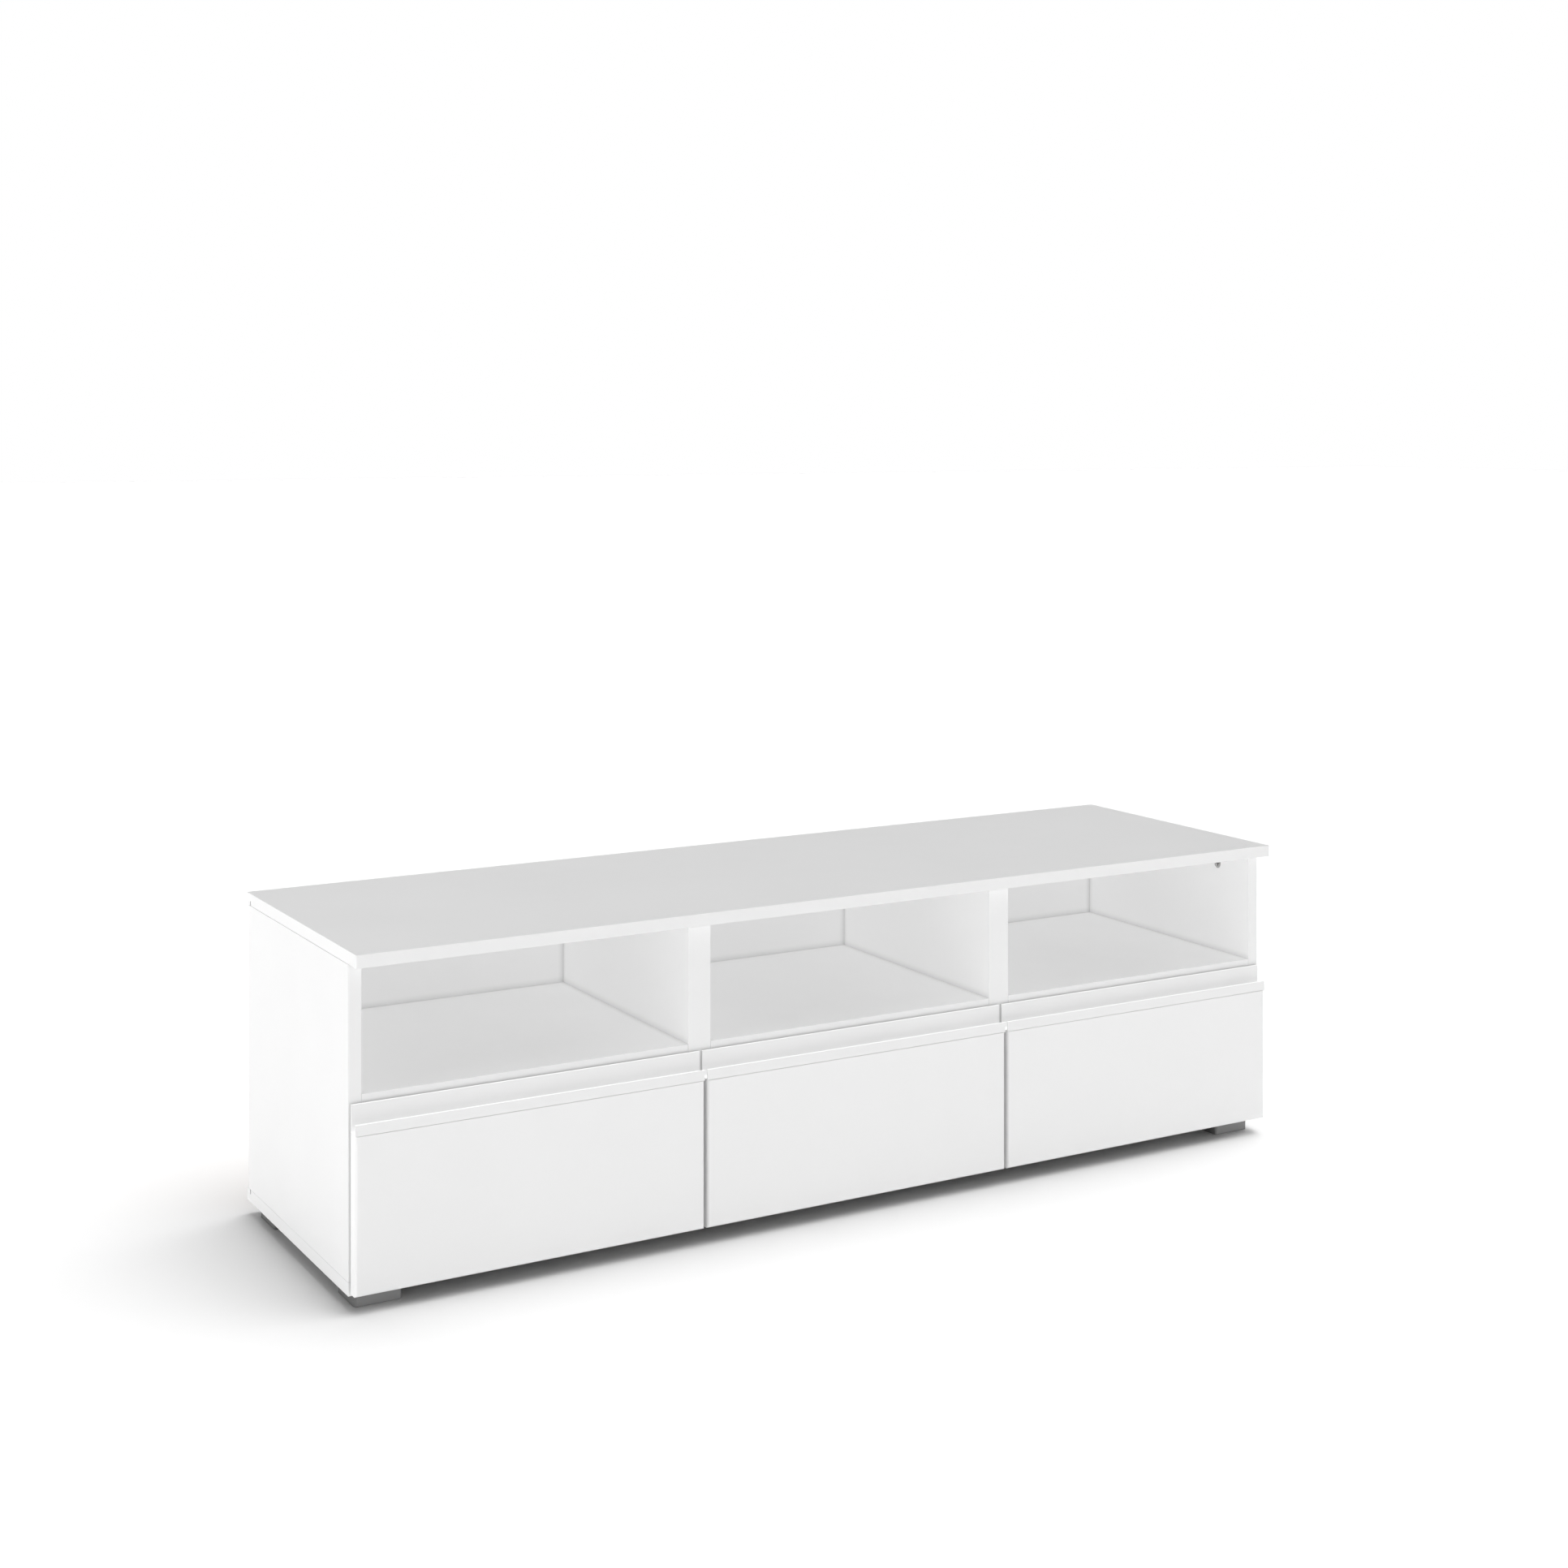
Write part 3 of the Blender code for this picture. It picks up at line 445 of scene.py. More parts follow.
@dataclass(frozen=True)
class FacedHardboard(Finish):
    """Thin hardboard, painted in front and raw behind, where a wire screen pressed its pattern.

    Attributes:
        raw: Colour of the raw face.
        pitch: Pitch of the screen's pattern.
        screen_height: Weight of the pattern against the fine relief.
        fibre_scale: Noise scale of the fibres, per metre.
        flecks: Tone of the darkest and the palest fibres.
    """

    raw: Colour = (0.30, 0.17, 0.085)
    pitch: float = 0.0016
    screen_height: float = 2.0
    fibre_scale: float = 320.0
    flecks: tuple[float, float] = (0.82, 1.18)

    def height(self, tree: bpy.types.NodeTree, fine: bpy.types.NodeSocket) -> bpy.types.NodeSocket:
        """Adds the screen's pattern to the rear face.

        Args:
            tree: The material's tree.
            fine: The fine relief.

        Returns:
            The height's socket.
        """
        screen = add_node(tree, "ShaderNodeGroup", node_tree=screen_group())
        screen.inputs["Pitch"].default_value = self.pitch
        behind = add_node(tree, "ShaderNodeMath", operation="MULTIPLY")
        raised = add_node(tree, "ShaderNodeMath", operation="MULTIPLY_ADD")
        raised.inputs[1].default_value = self.screen_height
        tree.links.new(screen.outputs["Screen"], behind.inputs[0])
        tree.links.new(screen.outputs["Rear"], behind.inputs[1])
        tree.links.new(behind.outputs["Value"], raised.inputs[0])
        tree.links.new(fine, raised.inputs[2])
        return raised.outputs["Value"]

    def paint(self, tree: bpy.types.NodeTree, plain: bpy.types.NodeSocket) -> bpy.types.NodeSocket:
        """Turns the rear face to flecked raw fibre, and paints shade into the front face's corners
        and gaps.

        Args:
            tree: The material's tree.
            plain: The painted face's colour.

        Returns:
            The colour's socket.
        """
        screen = add_node(tree, "ShaderNodeGroup", node_tree=screen_group())
        screen.inputs["Pitch"].default_value = self.pitch
        place = add_node(tree, "ShaderNodeTexCoord")
        fibres = add_node(tree, "ShaderNodeTexNoise")
        fibres.inputs["Scale"].default_value = self.fibre_scale
        fibres.inputs["Detail"].default_value = FIBRE_DETAIL
        tree.links.new(place.outputs["Object"], fibres.inputs["Vector"])
        flecks = mapped(tree, fibres.outputs["Fac"], 0.0, 1.0)
        dark, pale = (shaded(self.raw, tone) for tone in self.flecks)
        raw = mix_colours(tree, flecks, dark, pale)
        # Painted shade: the front face is darkened in the corners and gaps next to the boards.
        front = painted_joint_shade(tree, plain, self.colour)
        return mix_colours(tree, screen.outputs["Rear"], front, raw)


WHITE = (0.80, 0.80, 0.80)
MELAMINE = Finish("white_melamine", "white_melamine", WHITE, 0.42, Relief.PEARLED)
HARDBOARD = FacedHardboard("white_hardboard", "white_hardboard", WHITE, 0.50, Relief.PEARLED)
FOIL = Finish("white_foil", "white_foil", WHITE, 0.34, Relief.ORANGE_PEEL)
PROFILE = Finish("white_profile", "white_plastic_profile", WHITE, 0.33, Relief.EXTRUDED)
FOOT_PLASTIC = Finish(
    "grey_foot_plastic", "grey_plastic_foot", (0.21, 0.21, 0.21), 0.48, Relief.LEATHERY
)
ZINC = Finish("nickelled_zinc", "zinc_casting", (0.56, 0.555, 0.545), 0.34, Relief.CAST, 1.0)
STEEL = Finish("plated_steel", "plated_steel", (0.64, 0.645, 0.66), 0.23, Relief.DRAWN, 1.0)
SCREW_STEEL = Finish(
    "passivated_screws", "plated_steel", (0.70, 0.66, 0.56), 0.33, Relief.DRAWN, 1.0
)
WHITE_PLASTIC = Finish(
    "white_moulded_plastic", "white_stay_plastic", (0.74, 0.74, 0.73), 0.42, Relief.PEARLED
)
FERRITE = Finish(
    "dark_ferrite", "white_stay_plastic", (0.035, 0.033, 0.032), 0.62, Relief.LEATHERY
)
TAPE = Finish("paper_tape", "white_hardboard", (0.50, 0.38, 0.24), 0.55, Relief.DRAWN)


# Shapes ----------------------------------------------------------------------------------
class Axis(Enum):
    """A world axis, with the matrix that takes local (u, v, along) to world X, Y, Z."""

    X = ((0, 0, 1, 0), (1, 0, 0, 0), (0, 1, 0, 0), (0, 0, 0, 1))
    Y = ((1, 0, 0, 0), (0, 0, 1, 0), (0, 1, 0, 0), (0, 0, 0, 1))
    Z = ((1, 0, 0, 0), (0, 1, 0, 0), (0, 0, 1, 0), (0, 0, 0, 1))


def arc(u: float, v: float, radius: float, start: float, end: float, steps: int = 8) -> Outline:
    """Returns the points of an arc.

    Args:
        u: Centre, first coordinate.
        v: Centre, second coordinate.
        radius: Its radius.
        start: Start angle in degrees.
        end: End angle in degrees.
        steps: Number of chords.

    Returns:
        The points, from the start angle to the end angle.
    """
    angles = (math.radians(start + (end - start) * step / steps) for step in range(steps + 1))
    return [(u + radius * math.cos(angle), v + radius * math.sin(angle)) for angle in angles]


def rounded_rectangle(
    low: tuple[float, float], high: tuple[float, float], radius: float
) -> Outline:
    """Makes the outline of a rectangle with rounded corners.

    Args:
        low: Its corner with the least coordinates.
        high: The opposite corner.
        radius: Radius of the four corners.

    Returns:
        The outline.
    """
    (u0, v0), (u1, v1) = low, high
    return [
        *arc(u1 - radius, v1 - radius, radius, 0, 90),
        *arc(u0 + radius, v1 - radius, radius, 90, 180),
        *arc(u0 + radius, v0 + radius, radius, 180, 270),
        *arc(u1 - radius, v0 + radius, radius, 270, 360),
    ]


class Solid:
    """A closed shape in the making, in the stand's own frame."""

    MERGE = 1e-7

    def __init__(self, shape: bmesh.types.BMesh) -> None:
        """Takes over a bmesh."""
        self.shape = shape

    @classmethod
    def box(cls, low: Point, high: Point) -> "Solid":
        """Makes a box.

        Args:
            low: One corner.
            high: The opposite corner.

        Returns:
            The box.
        """
        low, high = Vector(low), Vector(high)
        place = Matrix.Translation((low + high) / 2) @ Matrix.Diagonal((*(high - low), 1.0))
        shape = bmesh.new()
        bmesh.ops.create_cube(shape, size=1.0, matrix=place)
        return cls(shape)

    @classmethod
    def prism(cls, outline: Outline, axis: Axis, start: float, end: float) -> "Solid":
        """Extrudes an outline along a world axis.

        Args:
            outline: The section, in the axis's own two coordinates.
            axis: The direction.
            start: Coordinate on the axis where the prism starts.
            end: Coordinate where it ends.

        Returns:
            The prism.
        """
        shape = bmesh.new()
        base = shape.faces.new([shape.verts.new((u, v, start)) for u, v in outline])
        grown = bmesh.ops.extrude_face_region(shape, geom=[base])["geom"]
        moved = [item for item in grown if isinstance(item, bmesh.types.BMVert)]
        bmesh.ops.translate(shape, verts=moved, vec=(0.0, 0.0, end - start))
        shape.transform(Matrix(axis.value))
        bmesh.ops.remove_doubles(shape, verts=shape.verts, dist=cls.MERGE)
        bmesh.ops.recalc_face_normals(shape, faces=shape.faces)
        return cls(shape)

    @classmethod
    def turned(cls, profile: Outline, centre: Point, axis: Vector, sides: int = 48) -> "Solid":
        """Turns a profile of (distance along the axis, radius) about the axis.

        Args:
            profile: Points from one end on the axis to the other.
            centre: Where the profile's zero is.
            axis: The direction of the axis.
            sides: Sides of the turned shape.

        Returns:
            The turned shape.
        """
        shape = bmesh.new()
        points = [shape.verts.new((radius, 0.0, along)) for along, radius in profile]
        edges = [shape.edges.new(pair) for pair in zip(points, points[1:])]
        bmesh.ops.spin(
            shape,
            geom=points + edges,
            axis=(0, 0, 1),
            cent=(0, 0, 0),
            angle=math.tau,
            steps=sides,
        )
        bmesh.ops.remove_doubles(shape, verts=shape.verts, dist=SAME_PLACE)
        turn = Vector((0.0, 0.0, 1.0)).rotation_difference(axis).to_matrix().to_4x4()
        shape.transform(Matrix.Translation(centre) @ turn)
        bmesh.ops.recalc_face_normals(shape, faces=shape.faces)
        return cls(shape)

    @classmethod
    def rod(
        cls, start: Point, end: Point, radius: float, chamfer: float = 0.0, sides: int = 48
    ) -> "Solid":
        """Makes a cylinder between two points.

        Args:
            start: Centre of one end.
            end: Centre of the other.
            radius: Its radius.
            chamfer: Chamfer of both ends.
            sides: Its sides.

        Returns:
            The cylinder.
        """
        start, end = Vector(start), Vector(end)
        length = (end - start).length
        profile = [(0.0, 0.0), (0.0, radius - chamfer), (chamfer, radius)]
        profile += [(length - chamfer, radius), (length, radius - chamfer), (length, 0.0)]
        return cls.turned(profile, start, (end - start).normalized(), sides)

    def copy(self) -> "Solid":
        """Returns a copy of the shape."""
        return Solid(self.shape.copy())

    def moved(self, offset: Point) -> "Solid":
        """Moves the shape and returns it."""
        self.shape.transform(Matrix.Translation(offset))
        return self

    def turn(self, centre: Vector, angle: float) -> "Solid":
        """Turns the shape about an axis along X.

        Args:
            centre: A point on the axis.
            angle: The angle in radians.

        Returns:
            The shape itself.
        """
        there, back = Matrix.Translation(centre), Matrix.Translation(-centre)
        self.shape.transform(there @ Matrix.Rotation(angle, 4, "X") @ back)
        return self

    def rounded(
        self,
        radius: float,
        segments: int = 4,
        chosen: Callable[[Vector, Vector], bool] | None = None,
    ) -> "Solid":
        """Rounds the edges whose two ends satisfy the test, or all edges.

        Args:
            radius: Radius of the rounding.
            segments: Chords of the rounding.
            chosen: Takes the two ends of an edge.

        Returns:
            The shape itself.
        """
        edges = [
            edge
            for edge in self.shape.edges
            if chosen is None or chosen(edge.verts[0].co, edge.verts[1].co)
        ]
        bmesh.ops.bevel(
            self.shape,
            geom=edges,
            offset=radius,
            offset_type="OFFSET",
            segments=segments,
            profile=0.5,
            affect="EDGES",
            clamp_overlap=True,
        )
        return self

    def plus(self, *others: "Solid") -> "Solid":
        """Joins other shapes to this one and returns it."""
        return self._combined(others, "UNION")

    def minus(self, *others: "Solid") -> "Solid":
        """Cuts other shapes out of this one and returns it."""
        return self._combined(others, "DIFFERENCE")

    def _combined(self, others: Sequence["Solid"], operation: str) -> "Solid":
        """Runs a Boolean with each of the other shapes in turn.

        Args:
            others: The other shapes.
            operation: "UNION" or "DIFFERENCE".

        Returns:
            The shape itself.
        """
        objects = [bpy.data.objects.new("solid", solid.mesh("solid")) for solid in (self, *others)]
        for obj in objects:
            bpy.context.scene.collection.objects.link(obj)
        base, *tools = objects
        for tool in tools:
            modifier = base.modifiers.new("combine", "BOOLEAN")
            modifier.operation, modifier.object = operation, tool
        bpy.context.view_layer.update()
        evaluated = base.evaluated_get(bpy.context.evaluated_depsgraph_get())
        self.shape.clear()
        self.shape.from_mesh(evaluated.to_mesh())
        evaluated.to_mesh_clear()
        meshes = [obj.data for obj in objects]
        for obj in objects:
            bpy.data.objects.remove(obj)
        for mesh in meshes:
            bpy.data.meshes.remove(mesh)
        return self

    def mesh(self, name: str) -> bpy.types.Mesh:
        """Makes a new mesh of the shape.

        Args:
            name: The mesh's name.

        Returns:
            The mesh.
        """
        mesh = bpy.data.meshes.new(name)
        self.shape.to_mesh(mesh)
        return mesh


SHARP_ANGLE = math.radians(32)


def add_piece(
    name: str,
    solid: Solid | bpy.types.Mesh,
    finish: Finish,
    body: str,
    stands_for: Sequence[str] = (),
) -> bpy.types.Object:
    """Adds a finished piece to the scene.

    Args:
        name: The piece's name.
        solid: Its shape, in place.
        finish: What it is finished in.
        body: The body that it moves with.
        stands_for: The CAD nodes that it replaces.

    Returns:
        The piece.
    """
    mesh = solid if isinstance(solid, bpy.types.Mesh) else solid.mesh(name)
    mesh.name = name
    mesh.materials.clear()
    mesh.materials.append(finish.material())
    mesh.shade_smooth()
    mesh.set_sharp_from_angle(angle=SHARP_ANGLE)
    piece = bpy.data.objects.new(name, mesh)
    bpy.context.scene.collection.objects.link(piece)
    normals = piece.modifiers.new("flat_faces", "WEIGHTED_NORMAL")
    normals.keep_sharp = True
    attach(piece, body)
    if stands_for:
        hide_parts(*stands_for)
    LOG.info("%s: %s on %s, %d faces", name, finish.name, body, len(mesh.polygons))
    return piece


def dress(node: str, finish: Finish) -> None:
    """Gives a CAD node, whose shape stays, its detailed material.

    Args:
        node: The node.
        finish: What it is finished in.
    """
    mesh = frame["nodes"][node].data
    mesh.materials.clear()
    mesh.materials.append(finish.material())
    LOG.info("%s: CAD shape in %s", node, finish.name)


def middle(node: str) -> Vector:
    """Returns the middle of a CAD node's box."""
    low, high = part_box(node)
    return (low + high) / 2


# Screws, repeated with geometry nodes ----------------------------------------------------
@cache
def row_tree() -> bpy.types.NodeTree:
    """Builds the geometry tree that repeats its input along a straight row.

    Returns:
        The tree.
    """
    tree = bpy.data.node_groups.new("row_of_copies", "GeometryNodeTree")
    sockets = (
        ("Geometry", "INPUT", "Geometry"),
        ("Count", "INPUT", "Int"),
        ("First", "INPUT", "Vector"),
        ("Step", "INPUT", "Vector"),
        ("Material", "INPUT", "Material"),
        ("Geometry", "OUTPUT", "Geometry"),
    )
    for label, direction, kind in sockets:
        tree.interface.new_socket(label, in_out=direction, socket_type=f"NodeSocket{kind}")
    given = add_node(tree, "NodeGroupInput")
    result = add_node(tree, "NodeGroupOutput")
    row = add_node(tree, "GeometryNodeMeshLine", mode="OFFSET")
    copies = add_node(tree, "GeometryNodeInstanceOnPoints")
    real = add_node(tree, "GeometryNodeRealizeInstances")
    dressed = add_node(tree, "GeometryNodeSetMaterial")
    link = tree.links.new
    link(given.outputs["Count"], row.inputs["Count"])
    link(given.outputs["First"], row.inputs["Start Location"])
    link(given.outputs["Step"], row.inputs["Offset"])
    link(row.outputs["Mesh"], copies.inputs["Points"])
    link(given.outputs["Geometry"], copies.inputs["Instance"])
    link(copies.outputs["Instances"], real.inputs["Geometry"])
    link(real.outputs["Geometry"], dressed.inputs["Geometry"])
    link(given.outputs["Material"], dressed.inputs["Material"])
    link(dressed.outputs["Geometry"], result.inputs["Geometry"])
    return tree


def repeated(
    solid: Solid, count: int, first: Point, step: Point, finish: Finish
) -> bpy.types.Mesh:
    """Repeats a shape, made at the origin, along a row.

    Args:
        solid: The shape to repeat.
        count: How many copies.
        first: Where the first one goes.
        step: From one copy to the next.
        finish: The copies' finish.

    Returns:
        One plain mesh of all the copies.
    """
    tree = row_tree()
    carrier = bpy.data.objects.new("row", solid.mesh("row"))
    bpy.context.scene.collection.objects.link(carrier)
    modifier = carrier.modifiers.new("row", "NODES")
    modifier.node_group = tree
    places = {"First": list(first), "Step": list(step)}
    values = {"Count": count, "Material": finish.material(), **places}
    for item in tree.interface.items_tree:
        if item.in_out == "INPUT" and item.name in values:
            modifier[item.identifier] = values[item.name]
    bpy.context.view_layer.update()
    graph = bpy.context.evaluated_depsgraph_get()
    mesh = bpy.data.meshes.new_from_object(carrier.evaluated_get(graph))
    carrier.modifiers.remove(modifier)
    bpy.data.objects.remove(carrier)
    return mesh


@dataclass(frozen=True)
class Screw:
    """A countersunk screw head with a cross recess.

    Attributes:
        radius: Head radius.
        crown: Height of the shallow crown above the face.
        seat: Depth of the cone below the face.
        taper: Radius of the cone's lower end, as a share of the head's.
        cross: Half length and half width of the recess, as shares of the head's radius.
        recess_half: Half depth of the recess, as a share of the seat.
        recess_middle: Height of the recess's middle above the face, likewise.
        steps: Chords of the crown's arc.
    """

    radius: float = 0.0030
    crown: float = 0.00035
    seat: float = 0.0008
    taper: float = 0.72
    cross: tuple[float, float] = (0.56, 0.13)
    recess_half: float = 0.7
    recess_middle: float = 0.35
    steps: int = 6

    def head(self, facing: Vector) -> Solid:
        """Builds the head at the origin.

        Args:
            facing: The direction that its crown faces.

        Returns:
            The head.
        """
        crown = [(self.crown * math.cos(t), self.radius * math.sin(t)) for t in self._quarter()]
        profile = [(-self.seat, 0.0), (-self.seat, self.radius * self.taper), *reversed(crown)]
        solid = Solid.turned(profile, (0, 0, 0), facing, 32)
        across = Vector((1, 0, 0)) if abs(facing.x) < 0.5 else Vector((0, 1, 0))
        for direction in (across, facing.cross(across)):
            solid.minus(self._recess(facing, direction))
        return solid

    def _quarter(self) -> list[float]:
        """Returns the angles of the crown's quarter arc."""
        return [math.radians(90 * step / self.steps) for step in range(self.steps + 1)]

    def _recess(self, facing: Vector, along: Vector) -> Solid:
        """Builds the cutter of one arm of the cross recess.

        Args:
            facing: The direction that the crown faces.
            along: The arm's direction.

        Returns:
            The cutter.
        """
        side, (length, width) = facing.cross(along), self.cross
        half = along * self.radius * length + side * self.radius * width
        corner = Vector(map(abs, half + facing * self.seat * self.recess_half))
        return Solid.box(-corner, corner).moved(facing * self.seat * self.recess_middle)


def add_screws(
    name: str, screw: Screw, facing: Vector, row: tuple[int, Point, Point], body: str
) -> None:
    """Adds a row of screws.

    Args:
        name: The piece's name.
        screw: Their size.
        facing: Where their heads face.
        row: How many, where the first is, and the step to the next.
        body: The body that they hold to.
    """
    count, first, step = row
    mesh = repeated(screw.head(facing), count, first, step, SCREW_STEEL)
    add_piece(name, mesh, SCREW_STEEL, body)


# Carcass ---------------------------------------------------------------------------------
@dataclass
class Carcass:
    """The boards, with their edge bands, the back and the fasteners that show.

    Attributes:
        uprights: Nodes of the sides and dividers.
        shelves: Nodes of the three shelves.
        screw: Screws that come up into the uprights.
        screw_inset: From the bottom panel's front and rear edges to the outer screws.
        tape_width: Tape over the folds of the back panel.
        tape_thickness: Its thickness.
        tape_end: From its ends to the bottom and top panels.
        nail: Nails through the back into the dividers.
        nail_count: Nails in each divider.
        nail_offset: From the tape's middle to the nails, as a share of its width.
    """

    uprights: tuple[str, ...] = ("left_side_panel", "right_side_panel", "divider_1", "divider_2")
    shelves: tuple[str, ...] = ("left_shelf", "middle_shelf", "right_shelf")
    screw: Screw = Screw(radius=0.0048, crown=0.0003, seat=0.0012)
    screw_inset: float = 0.088
    tape_width: float = 0.034
    tape_thickness: float = 0.0002
    tape_end: float = 0.001
    nail: Screw = Screw(radius=0.0022, crown=0.0005, seat=0.0006)
    nail_count: int = 5
    nail_offset: float = 0.3

    def build(self) -> None:
        """Dresses the boards and adds the fasteners."""
        self.dress_boards()
        self.add_upright_screws()
        self.add_back_folds()

    def dress_boards(self) -> None:
        """Gives each board its melamine, with bands on the edges that have them."""
        shared = (MELAMINE.slot, WHITE, MELAMINE.roughness, MELAMINE.relief)
        low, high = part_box("top_panel")
        dress("top_panel", BandedBoard("top_melamine", *shared, low=tuple(low), high=tuple(high)))
        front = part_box("bottom_panel")[0].y
        plain = BandedBoard("carcass_melamine", *shared, low=(-FAR, front, -FAR))
        for node in ("bottom_panel", *self.uprights, *self.shelves):
            dress(node, plain)
        dress("back_panel", HARDBOARD)

    def add_upright_screws(self) -> None:
        """Adds the screws that come up through the bottom panel into the sides and dividers."""
        low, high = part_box("bottom_panel")
        step = (high.y - low.y - 2 * self.screw_inset) / 2
        for node in self.uprights:
            first = (middle(node).x, low.y + self.screw_inset, low.z)
            row = (3, first, (0, step, 0))
            add_screws(f"{node}_screws", self.screw, Vector((0, 0, -1)), row, "carcass")

    def add_back_folds(self) -> None:
        """Adds the taped folds of the back panel behind the dividers, with a row of nails each."""
        low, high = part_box("back_panel")
        bottom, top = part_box("bottom_panel")[1].z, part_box("top_panel")[0].z
        step, face = (top - bottom) / self.nail_count, high.y + self.tape_thickness
        for node in ("divider_1", "divider_2"):
            x = middle(node).x
            corner = (x - self.tape_width / 2, high.y, bottom + self.tape_end)
            end = (x + self.tape_width / 2, face, top - self.tape_end)
            add_piece(f"{node}_back_tape", Solid.box(corner, end), TAPE, "carcass")
            first = (x + self.tape_width * self.nail_offset, face, bottom + step / 2)
            row = (self.nail_count, first, (0, 0, step))
            add_screws(f"{node}_back_nails", self.nail, Vector((0, 1, 0)), row, "carcass")


@dataclass
class CamLock:
    """A cam in its bore: a turned body with a chamfered rim, a cross recess and a pointer notch.

    Attributes:
        node: Its CAD node.
        chamfer: Chamfer of its rim.
        slot: Length, width and depth of the recess.
        notch: From the centre to the pointer notch, as a share of the radius.
    """

    node: str
    chamfer: float = 0.0004
    slot: tuple[float, float, float] = (0.0090, 0.0018, 0.0025)
    notch: float = 0.86

    def build(self) -> None:
        """Builds the cam over its CAD node."""
        low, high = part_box(self.node)
        centre, radius = (low + high) / 2, (high.z - low.z) / 2
        inward = -math.copysign(1.0, centre.x)
        face = low.x if inward < 0 else high.x
        back = high.x if inward < 0 else low.x
        yz = centre.yz
        cam = Solid.rod((back, *yz), (face, *yz), radius, self.chamfer)
        length, width, depth = self.slot
        for half_y, half_z in ((length / 2, width / 2), (width / 2, length / 2)):
            half = Vector((depth, half_y, half_z))
            spot = Vector((face, centre.y, centre.z))
            cam.minus(Solid.box(spot - half, spot + half))
        notch = Vector((face, centre.y, centre.z + radius * self.notch))
        size = Vector((depth / 4, width / 3, width / 2))
        cam.minus(Solid.box(notch - size, notch + size))
        add_piece(f"{self.node}_body", cam, ZINC, "carcass", [self.node])


@dataclass
class Foot:
    """A moulded block foot with rounded corners and a screw in a recess underneath.

    Attributes:
        node: Its CAD node.
        corner: Radius of the upright corners.
        chamfer: Rounding of the lower and upper rims.
        recess: Radius and depth of the recess.
        screw: The screw in the recess.
    """

    node: str
    corner: float = 0.0045
    chamfer: float = 0.0009
    recess: tuple[float, float] = (0.0065, 0.010)
    screw: Screw = Screw(radius=0.0042, crown=0.0006, seat=0.0008)

    def build(self) -> None:
        """Builds the foot over its CAD node."""
        low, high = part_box(self.node)
        outline = rounded_rectangle((low.x, low.y), (high.x, high.y), self.corner)
        block = Solid.prism(outline, Axis.Z, low.z, high.z)
        block.rounded(self.chamfer, 3, lambda a, b: abs(a.z - b.z) < SAME_PLACE)
        centre, (radius, depth) = (low + high) / 2, self.recess
        spot = (centre.x, centre.y, low.z + depth)
        block.minus(Solid.rod((centre.x, centre.y, low.z - 2 * OVERSHOOT), spot, radius))
        add_piece(f"{self.node}_block", block, FOOT_PLASTIC, "carcass", [self.node])
        row = (1, spot, (0, 0, 0))
        add_screws(f"{self.node}_screw", self.screw, Vector((0, 0, -1)), row, "carcass")


